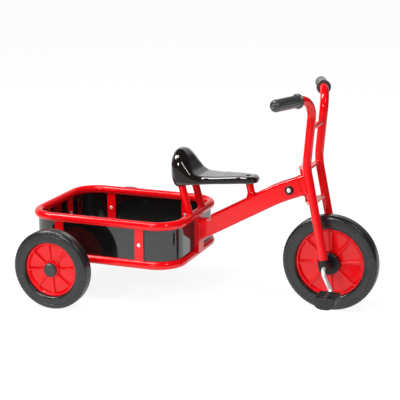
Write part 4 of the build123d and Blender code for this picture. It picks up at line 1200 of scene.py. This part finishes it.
@dataclass
class Pedal:
    """Pedal block with two columns of slots in its tread and a rounded underside."""

    side: str
    up: float = 13.0 * MM
    down: float = 21.0 * MM
    corner: float = 5.0 * MM
    corner_steps: int = 8
    belly_power: float = 0.72
    belly_steps: int = 9
    slots: int = 4
    pitch_over: float = 0.6
    pitch_start: float = 0.8
    slot_half: float = 6.0 * MM
    slot_depth: float = 4.5 * MM
    slot_wall: float = 0.5 * MM
    slot_chamfer: float = 1.1 * MM
    # Dark trays line the slots: painted shade for their dark bottoms
    shade_tray_gap: float = 0.1 * MM
    shade_tray_wall: float = 0.4 * MM
    band_half: float = 6.0 * MM
    tread_inset: float = 1.2
    round_end: float = 2.2 * MM
    round_shares: tuple[float, ...] = (1.0, 0.55, 0.2, 0.0)
    end_over: float = 0.4 * MM
    sharp: float = 35.0

    def __post_init__(self) -> None:
        """Reads the pedal's place from its solid and spaces the slots along it."""
        low, high = (Vector(corner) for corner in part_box(f"pedal_{self.side}"))
        self.start, self.end = low.y, high.y
        if SIDES[self.side] > 0:
            self.end += self.end_over
        else:
            self.start -= self.end_over
        self.half = (high.x - low.x) / 2
        self.x = (low.x + high.x) / 2
        self.z = high.z - self.up
        self.tread_reach = self.half - self.tread_inset * self.corner
        pitch = (self.end - self.start) / (self.slots + self.pitch_over)
        self.centres = [self.start + pitch * (index + self.pitch_start) for index in range(self.slots)]

    def tread_places(self) -> list[Pair]:
        """Spaces the tread's columns across the pedal.

        Returns:
            Columns as (x, share of the slot's depth).
        """
        reach, wall = self.tread_reach, self.slot_wall
        right = [(self.band_half, 0.0), (self.band_half + wall, 1.0), (0.5 * (self.band_half + reach), 1.0)]
        right += [(reach - wall, 1.0), (reach, 0.0)]
        return [(-x, deep) for x, deep in reversed(right)] + [(0.0, 0.0)] + right

    def ring(self, y: float, deep: float, inset: float) -> list[Vector]:
        """Draws the closed section at a place along the pedal.

        Args:
            y: Place along the pedal.
            deep: Share of the slots' depth here.
            inset: How far the section is drawn in, for the rounded ends.

        Returns:
            The section's points.
        """
        half, top, r = self.half - inset, self.up - inset, self.corner
        points = []
        for x, share in self.tread_places():
            points.append((x * half / self.half, top - share * deep * self.slot_depth))
        side = []
        for turn in quarter(self.corner_steps):
            side.append((half - r * (1 - math.sin(turn)), top - r * (1 - math.cos(turn))))
        under = self.up - 2 * self.corner
        depth = self.down + under - inset
        for turn in quarter(self.belly_steps)[1:]:
            side.append((half * math.cos(turn)**self.belly_power, under - depth * math.sin(turn)))
        points += side + [(-x, z) for x, z in reversed(side[:-1])]
        return [Vector((self.x + x, y, self.z + z)) for x, z in points]

    def sections(self) -> list[Triple]:
        """Spaces the sections along the pedal.

        Returns:
            Sections as (y, share of the slots' depth, inset).
        """
        ends = []
        for share in self.round_shares:
            reach = self.round_end * (1 - math.sin(math.acos(1.0 - share)))
            ends.append((reach, share * self.round_end))
        half, chamfer = self.slot_half, self.slot_chamfer
        edge = [(half + chamfer, 0.0), (half, chamfer / self.slot_depth), (half - self.slot_wall, 1.0)]
        places = [(self.start + reach, 0.0, inset) for reach, inset in ends]
        for y in self.centres:
            places += [(y - offset, deep, 0.0) for offset, deep in edge]
            places += [(y + offset, deep, 0.0) for offset, deep in reversed(edge)]
        return places + [(self.end - reach, 0.0, inset) for reach, inset in reversed(ends)]

    def shade_trays(self) -> Skin:
        """Makes the dark trays that line the slots, painted shade for their dark bottoms.

        Returns:
            The trays' skin.
        """
        inner = self.band_half + self.slot_wall + self.shade_tray_gap
        outer = self.tread_reach - self.slot_wall - self.shade_tray_gap
        half = self.slot_half - self.slot_wall - self.shade_tray_gap
        floor = self.up - self.slot_depth + self.shade_tray_gap
        rim = self.up - self.slot_chamfer - self.shade_tray_gap
        wall = self.shade_tray_wall
        skin = Skin()
        for y in self.centres:
            for sign in SIDES.values():
                rows = []
                for draw, level in ((0.0, floor), (0.0, rim), (wall, rim), (wall, floor + wall)):
                    near, far, wide = inner + draw, outer - draw, half - draw
                    corners = ((near, -wide), (far, -wide), (far, wide), (near, wide))
                    rows.append([Vector((self.x + sign * x, y + dy, self.z + level)) for x, dy in corners])
                skin.rod(rows)
        return skin

    def build(self, shop: Workshop) -> None:
        """Builds the pedal and the dark trays that paint the shade in its slots.

        Args:
            shop: Workshop that finishes them.
        """
        skin = Skin()
        skin.rod([self.ring(*place) for place in self.sections()])
        body = Body(f"pedal_{self.side}_body")
        block = skin.piece(f"slotted_pedal_{self.side}", self.sharp)
        shop.fit(block, body, Look.PEDAL, [f"pedal_{self.side}"])
        # Painted shade: dark trays in the slots stand in for their dark bottoms
        shop.fit(self.shade_trays().piece(f"pedal_slot_shade_trays_{self.side}"), body, Look.PAINTED_SHADE)


# Handlebar


@dataclass
class Grip:
    """Rubber grip with a flange, shallow flutes and a domed end.

    All but the start is in millimetres. The rows of the flange and the neck are (distance from the start,
    step from the radius), with the share of the flutes on the neck, and the rows of the end are
    (distance from the tip, radius).
    """

    side: str
    start: Triple = (304.61 * MM, 127.28 * MM, 622.20 * MM)
    sweep: float = 20.0
    length: float = 111.0
    radius: float = 17.0
    dome: float = 11.0
    dome_steps: int = 6
    dome_turn: float = 10.5
    flange: float = 21.0
    bore: float = 12.6
    flutes: int = 18
    flute_depth: float = 0.9
    flute_shape: tuple[float, ...] = (0.0, 0.0, 0.35, 1.0, 1.0, 0.35)
    flute_end: Pair = (6.0, 4.0)
    sharp: float = 40.0
    flange_rows: tuple[Pair, ...] = (
        (0.0, -2.6), (0.3, -1.3), (1.2, -0.3), (2.4, 0.0), (3.8, 0.0), (5.0, -0.4), (5.8, -1.4),
        (6.0, -2.8))
    neck_rows: tuple[Triple, ...] = (
        (6.4, 0.6, 0.0), (7.4, 0.0, 0.0), (9.0, 0.0, 0.0), (10.5, 0.0, 1.0), (40.0, 0.0, 1.0),
        (75.0, 0.0, 1.0))
    end_rows: tuple[Pair, ...] = (
        (1.2, 8.6), (1.9, 8.2), (1.9, 7.2), (0.6, 6.6), (0.0, 5.4), (0.9, 4.2), (1.0, 1.2))

    def profile(self) -> list[Triple]:
        """Draws the section along the grip.

        Returns:
            Rows as (distance, radius, share of the flutes), in millimetres.
        """
        rows = [(0.0, self.bore, 0.0)]
        rows += [(distance, self.flange + out, 0.0) for distance, out in self.flange_rows]
        rows += [(distance, self.radius + out, share) for distance, out, share in self.neck_rows]
        wide, dome = self.radius, self.dome
        edge = self.length - dome
        fluted, plain = self.flute_end
        rows += [(edge - fluted, wide, 1.0), (edge - plain, wide, 0.0), (edge, wide, 0.0)]
        for step in range(1, self.dome_steps + 1):
            turn = math.radians(self.dome_turn * step)
            rows.append((edge + dome * math.sin(turn), wide - dome * (1 - math.cos(turn)), 0.0))
        return rows + [(self.length - drop, radius, 0.0) for drop, radius in self.end_rows]

    def build(self, shop: Workshop) -> None:
        """Builds the grip.

        Args:
            shop: Workshop that finishes it.
        """
        sign = SIDES[self.side]
        turn = math.radians(self.sweep)
        along = Vector((-math.sin(turn), sign * math.cos(turn), 0.0))
        begin = Vector((self.start[0], sign * self.start[1], self.start[2]))
        parts = len(self.flute_shape)
        rows = []
        for distance, radius, share in self.profile():
            middle = begin + along * (distance * MM)
            row = []
            for index, point in enumerate(circle(middle, along, radius * MM, parts * self.flutes)):
                deep = self.flute_shape[index % parts] * share * self.flute_depth / radius
                row.append(point + (middle - point) * deep)
            rows.append(row)
        skin = Skin()
        skin.grid(rows)
        skin.lid(rows[-1])
        grip = skin.piece(f"fluted_grip_{self.side}", self.sharp)
        shop.fit(grip, Body.FORK, Look.GRIP, [f"grip_{self.side}"])


# Welds


@dataclass
class Welds:
    """Small painted weld beads where the tubes meet."""

    shop: Workshop
    bead: float = 1.7 * MM
    beam_bead: float = 2.2 * MM
    plate_bead: float = 1.4 * MM
    bar_bead: float = 1.2 * MM
    bead_sides: int = 8
    ripple: float = 0.16
    ripple_step: float = 2.1
    thin_end: float = 0.35
    thin_step: float = 0.3
    sharp: float = 60.0
    ray_start: float = 0.07
    beam_points: int = 72
    ring_points: int = 64
    bar_points: int = 40
    front_x: float = 371.5 * MM
    axle_z: float = 140.0 * MM
    rake: float = 11.6
    leg_y: float = 61.5 * MM
    leg_radius: float = 12.5 * MM
    crowns: Pair = (186.0 * MM, 284.5 * MM)
    crown_half: float = 3.0 * MM
    steer_offset: float = 25.0 * MM
    head_radius: float = 17.0 * MM
    head_gap: float = 4.0 * MM
    beam_slope: float = 21.8
    beam_middle: float = 29.0 * MM
    beam_gap: float = 1.2 * MM
    strut_radius: float = 11.0 * MM
    strut_above: float = 0.05
    post_lean: float = 12.0
    post_radius: float = 15.0 * MM
    crossbar_radius: float = 7.5 * MM
    plate_end: float = 5.5 * MM
    plate_nose: float = 18.0 * MM
    plate_taper: float = 0.19
    plate_steps: int = 12

    def surface(self, name: str) -> BVHTree:
        """Reads the surface of a solid.

        Args:
            name: The solid's node.

        Returns:
            Its search tree.
        """
        mesh = self.shop.nodes[name].data
        points = [tuple(v.co) for v in mesh.vertices]
        return BVHTree.FromPolygons(points, [tuple(p.vertices) for p in mesh.polygons])

    @staticmethod
    def hits(tree: BVHTree, starts: Sequence[Vector], aims: Sequence[Vector]) -> list[Vector]:
        """Returns where rays meet a solid, without the rays that miss."""
        found = [tree.ray_cast(start, aim)[0] for start, aim in zip(starts, aims)]
        return [point for point in found if point is not None]

    def around(self, tree: BVHTree, middle: Vector, along: Vector) -> list[Vector]:
        """Returns a ring on a solid in the plane through a point, square to a direction."""
        starts = circle(middle, along, self.ray_start, self.beam_points)
        return self.hits(tree, starts, [(middle - start).normalized() for start in starts])

    def thrown(self, tree: BVHTree, ring: Sequence[Vector], aim: Vector) -> list[Vector]:
        """Returns a ring thrown on a solid in one direction."""
        return self.hits(tree, ring, [aim] * len(ring))

    def sweep(self, ring: Sequence[Vector], thick: float, closed: bool) -> Skin:
        """Sweeps a rippled bead along a path.

        Args:
            ring: Points of the path.
            thick: Radius of the bead.
            closed: Whether the path is a closed ring.

        Returns:
            The bead's skin.
        """
        middle = sum(ring, Vector()) / len(ring)
        last = len(ring) - 1
        turns = [2 * math.pi * step / self.bead_sides for step in range(self.bead_sides)]
        rows = []
        for index, point in enumerate(ring):
            before = ring[index - 1] if closed or index > 0 else point
            after = ring[(index + 1) % len(ring)] if closed or index < last else point
            ahead = (after - before).normalized()
            out = point - middle
            out = (out - ahead * out.dot(ahead)).normalized()
            rise = ahead.cross(out)
            r = thick * (1.0 + self.ripple * math.sin(self.ripple_step * index))
            if not closed:
                r *= min(1.0, self.thin_end + self.thin_step * min(index, last - index))
            rows.append([point + out * (r * math.cos(t)) + rise * (r * math.sin(t)) for t in turns])
        skin = Skin()
        if closed:
            skin.grid(rows, closed=True)
        else:
            skin.rod(rows)
        return skin

    def lay(self, name: str, body: Body, ring: Sequence[Vector], thick: float, closed: bool = True) -> None:
        """Lays one bead along a ring, or along an arc where it isn't closed."""
        bead = self.sweep(ring, thick, closed).piece(name, self.sharp)
        self.shop.fit(bead, body, Look.PAINT)

    def build(self) -> None:
        """Lays all the beads."""
        self.on_tray()
        self.on_beam()
        self.on_fork()

    def on_tray(self) -> None:
        """Lays the beads at the feet of the seat struts."""
        saddle = Saddle()
        rail = self.surface("tray_top_rail")
        along = leaning(saddle.strut_lean)
        for side, sign in SIDES.items():
            above = saddle.foot(sign) + along * self.strut_above
            ring = circle(above, along, self.strut_radius, self.ring_points)
            self.lay(f"weld_strut_{side}", Body.FRAME, self.thrown(rail, ring, -along), self.bead)

    def on_beam(self) -> None:
        """Lays the beads at both ends of the beam and round the seat post."""
        beam = self.surface("main_beam")
        low = Vector(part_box("main_beam")[0])
        upright = Vector(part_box("front_upright")[1])
        rear = Vector((upright.x + self.beam_gap, 0.0, low.z + self.beam_middle))
        ring = self.around(beam, rear, Vector((1.0, 0.0, 0.0)))
        self.lay("weld_beam_rear", Body.FRAME, ring, self.beam_bead)
        slope = math.radians(self.beam_slope)
        ahead = Vector((math.cos(slope), 0.0, math.sin(slope)))
        head = self.steer_point(0.5 * sum(self.crowns))
        ring = self.around(beam, head - ahead * (self.head_radius + self.head_gap), ahead)
        self.lay("weld_beam_head", Body.FRAME, ring, self.beam_bead)
        saddle = Saddle()
        along = leaning(self.post_lean)
        top = saddle.place(saddle.screw_back, 0.0, -saddle.wall)
        ring = circle(top, along, self.post_radius, self.ring_points)
        self.lay("weld_seat_post", Body.FRAME, self.thrown(beam, ring, -along), self.bead)

    def steer_point(self, along: float) -> Vector:
        """Finds a point on the steering axis.

        Args:
            along: Distance from the front axle along the axis.

        Returns:
            The point.
        """
        rake = math.radians(self.rake)
        x = self.front_x - along * math.sin(rake) - self.steer_offset * math.cos(rake)
        return Vector((x, 0.0, self.axle_z + along * math.cos(rake) - self.steer_offset * math.sin(rake)))

    def plate_arc(self, middle: Vector, up: Vector, sign: int) -> list[Vector]:
        """Finds the arc of a leg that a crown plate meets.

        Args:
            middle: Centre of the leg at the plate's face.
            up: Direction of the leg.
            sign: Side of the leg.

        Returns:
            Points of the arc.
        """
        ahead = Vector((0.0, 1.0, 0.0)).cross(up)
        aim = ahead * -self.steer_offset + Vector((0.0, -sign * self.leg_y, 0.0))
        across = up.cross(aim).normalized()
        aim = aim.normalized()
        half = self.plate_end + self.plate_taper * (self.plate_nose - self.plate_end)
        spread = math.asin(half / self.leg_radius)
        turns = [spread * (i / self.plate_steps - 1) for i in range(2 * self.plate_steps + 1)]
        return [middle + (aim * math.cos(t) + across * math.sin(t)) * self.leg_radius for t in turns]

    def on_fork(self) -> None:
        """Lays the beads of the crown plates and the crossbar on the legs."""
        up = leaning(self.rake)
        low, high = (Vector(corner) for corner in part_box("handlebar_crossbar"))
        for side, sign in SIDES.items():
            foot = Vector((self.front_x, sign * self.leg_y, self.axle_z))
            for level, along in zip(("low", "high"), self.crowns):
                for face, edge in (("under", -1), ("over", 1)):
                    name = f"weld_crown_{level}_{face}_{side}"
                    arc = self.plate_arc(foot + up * (along + edge * self.crown_half), up, sign)
                    self.lay(name, Body.FORK, arc, self.plate_bead, closed=False)
            out = Vector((0.0, float(sign), 0.0))
            ring = circle((low + high) / 2, out, self.crossbar_radius, self.bar_points)
            ring = self.thrown(self.surface(f"fork_leg_{side}"), ring, out)
            self.lay(f"weld_crossbar_{side}", Body.FORK, ring, self.bar_bead)


# Studio


@dataclass(frozen=True)
class Lamp:
    """Soft box that faces a point, in view of glossy surfaces or not."""

    name: str
    at: Triple
    aim: Triple
    size: Pair
    watts: float
    mirrored: bool = True

    def hang(self) -> None:
        """Makes the lamp."""
        data = bpy.data.lights.new(self.name, "AREA")
        data.shape = "RECTANGLE"
        data.size, data.size_y = self.size
        data.energy = self.watts
        lamp = bpy.data.objects.new(self.name, data)
        bpy.context.scene.collection.objects.link(lamp)
        lamp.visible_glossy = self.mirrored
        lamp.location = self.at
        lamp.rotation_euler = (Vector(self.aim) - Vector(self.at)).to_track_quat("-Z", "Y").to_euler()


@dataclass
class Studio:
    """White floor, soft lamps and the camera of the photograph."""

    camera_at: Triple = (1.25476, -3.33375, 1.19196)
    yaw: float = 0.3677
    pitch: float = 0.248
    roll: float = -0.0021
    lens: float = 112.5
    sensor: float = 36.0
    view_end: float = 100.0
    floor_half: float = 30.0
    floor_grey: float = 0.86
    floor_glow: float = 0.88
    floor_share: float = 0.2
    glow_middle: Triple = (0.0, 1.0, 0.0)
    glow_reach: Pair = (1.8, 2.6)
    ambient: float = 0.55
    dim: float = 0.05
    height_fade: Pair = (0.3, 0.6)
    back_fade: Pair = (-0.1, 0.35)
    side_fade: Pair = (0.05, 0.45)
    lamps: tuple[Lamp, ...] = (
        Lamp("softbox_over", (-0.95, -0.65, 2.55), (-0.95, 0.05, 0.3), (1.5, 0.6), 32.0),
        Lamp("softbox_right", (1.9, -1.5, 2.6), (0.0, 0.0, 0.3), (0.25, 0.9), 14.0),
        Lamp("softbox_left", (-1.9, -0.7, 2.4), (0.0, 0.0, 0.3), (0.9, 0.9), 44.0),
        Lamp("front_key", (-0.6, -3.3, 2.0), (0.1, 0.0, 0.25), (0.6, 0.6), 46.0),
        Lamp("front_fill", (1.3, -4.6, 1.9), (0.0, 0.0, 0.25), (2.4, 1.4), 36.0, mirrored=False),
    )

    def build(self) -> None:
        """Makes camera, floor, world and lamps."""
        self.make_camera()
        self.make_floor()
        self.make_world()
        for lamp in self.lamps:
            lamp.hang()
        bpy.context.scene.view_settings.view_transform = "Standard"

    def make_camera(self) -> None:
        """Places the camera at the photograph's viewing point."""
        data = bpy.data.cameras.new("photo_camera")
        data.lens = self.lens
        data.sensor_width = self.sensor
        data.clip_end = self.view_end
        camera = bpy.data.objects.new("photo_camera", data)
        bpy.context.scene.collection.objects.link(camera)
        level = math.cos(self.pitch)
        ahead = Vector((-math.sin(self.yaw) * level, math.cos(self.yaw) * level, -math.sin(self.pitch)))
        right = Vector((math.cos(self.yaw), math.sin(self.yaw), 0.0))
        up = right.cross(ahead)
        right_rolled = right * math.cos(self.roll) + up * math.sin(self.roll)
        up_rolled = up * math.cos(self.roll) - right * math.sin(self.roll)
        turn = Matrix((right_rolled, up_rolled, -ahead)).transposed().to_4x4()
        camera.matrix_world = Matrix.Translation(self.camera_at) @ turn
        bpy.context.scene.camera = camera

    def make_floor(self) -> None:
        """Lays a white floor that keeps the object's soft shadow."""
        half = self.floor_half
        corners = [(-half, -half, 0.0), (half, -half, 0.0), (half, half, 0.0), (-half, half, 0.0)]
        mesh = bpy.data.meshes.new("studio_floor")
        mesh.from_pydata(corners, [], [(0, 1, 2, 3)])
        floor = bpy.data.objects.new("studio_floor", mesh)
        bpy.context.scene.collection.objects.link(floor)
        material = bpy.data.materials.new("studio_white")
        material.use_nodes = True
        graph = Graph(material.node_tree)
        graph.tree.nodes.clear()
        glow = graph.add("Emission")
        graph.join(self.floor_strength(graph), glow.inputs["Strength"])
        white = graph.add("AddShader")
        graph.join(self.matt(graph, self.floor_share), white.inputs[0])
        graph.join(glow.outputs["Emission"], white.inputs[1])
        self.show(graph, "OutputMaterial", self.matt(graph, self.floor_grey), white.outputs["Shader"])
        mesh.materials.append(material)

    def make_world(self) -> None:
        """Makes a white surround for the camera and a dimmer room for reflections."""
        world = bpy.data.worlds.new("studio_surround")
        bpy.context.scene.world = world
        world.use_nodes = True
        graph = Graph(world.node_tree)
        graph.tree.nodes.clear()
        room = graph.add("Background")
        graph.join(self.ambient, room.inputs["Strength"])
        white = graph.add("Background")
        graph.join(self.surround_strength(graph), white.inputs["Strength"])
        self.show(graph, "OutputWorld", room.outputs["Background"], white.outputs["Background"])

    def floor_strength(self, graph: Graph) -> Socket:
        """Adds the floor's glow: even for the camera, and in reflections only near the object and behind it.

        Args:
            graph: The floor's graph.

        Returns:
            The strength.
        """
        away = graph.add("VectorMath", operation="DISTANCE")
        graph.join(graph.add("NewGeometry").outputs["Position"], away.inputs[0])
        graph.join(self.glow_middle, away.inputs[1])
        fade = graph.ramp(away.outputs["Value"], self.glow_reach, (1.0, self.dim))
        return graph.math("MULTIPLY", self.or_camera(graph, fade), self.floor_glow)

    def surround_strength(self, graph: Graph) -> Socket:
        """Adds the surround's strength: white for the camera, and for reflections a backdrop in a dim room.

        Args:
            graph: The world's graph.

        Returns:
            The strength.
        """
        axes = graph.split(graph.add("TexCoord").outputs["Generated"]).outputs
        low = graph.ramp(axes["Z"], self.height_fade, (1.0, 0.0))
        behind = graph.ramp(axes["Y"], self.back_fade)
        aside = graph.ramp(axes["X"], self.side_fade, (1.0, 0.0))
        backdrop = graph.math("MULTIPLY", graph.math("MULTIPLY", low, behind), aside)
        return self.or_camera(graph, graph.math("MAXIMUM", backdrop, self.dim))

    @staticmethod
    def or_camera(graph: Graph, strength: Socket) -> Socket:
        """Returns a strength that is one for the rays of the camera."""
        camera = graph.add("LightPath").outputs["Is Camera Ray"]
        return graph.math("MAXIMUM", camera, strength)

    @staticmethod
    def matt(graph: Graph, grey: float) -> Socket:
        """Adds a matt grey shader.

        Args:
            graph: Graph that gets it.
            grey: Its brightness.

        Returns:
            The shader.
        """
        shader = graph.add("BsdfDiffuse")
        graph.join((grey, grey, grey, 1.0), shader.inputs["Color"])
        return shader.outputs["BSDF"]

    @staticmethod
    def show(graph: Graph, output: str, plain: Socket, bright: Socket) -> None:
        """Shows one shader to the rays that see the background, and another to those that light the object.

        Args:
            graph: Graph of the floor or the world.
            output: Type of its output node.
            plain: Shader that lights the object.
            bright: Shader that the camera, glossy surfaces and clear ones see.
        """
        path = graph.add("LightPath").outputs
        seen = graph.math("MAXIMUM", path["Is Camera Ray"], path["Is Glossy Ray"])
        mix = graph.add("MixShader")
        graph.join(graph.math("MAXIMUM", seen, path["Is Transmission Ray"]), mix.inputs["Fac"])
        graph.join(plain, mix.inputs[1])
        graph.join(bright, mix.inputs[2])
        graph.join(mix.outputs["Shader"], graph.add(output).inputs["Surface"])


def main() -> None:
    """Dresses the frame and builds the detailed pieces."""
    logging.basicConfig(level=logging.INFO, format="%(message)s")
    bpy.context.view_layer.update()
    shop = Workshop(frame["nodes"])
    shop.dress_frame(frame["record"]["subparts"])
    for width, names in SOFT_EDGES.items():
        shop.soften(names, width)
    Wheels().build(shop)
    Saddle().build(shop)
    for side in SIDES:
        Pedal(side).build(shop)
        Grip(side).build(shop)
    Welds(shop).build()
    Studio().build()


if __name__ == "__main__":
    main()
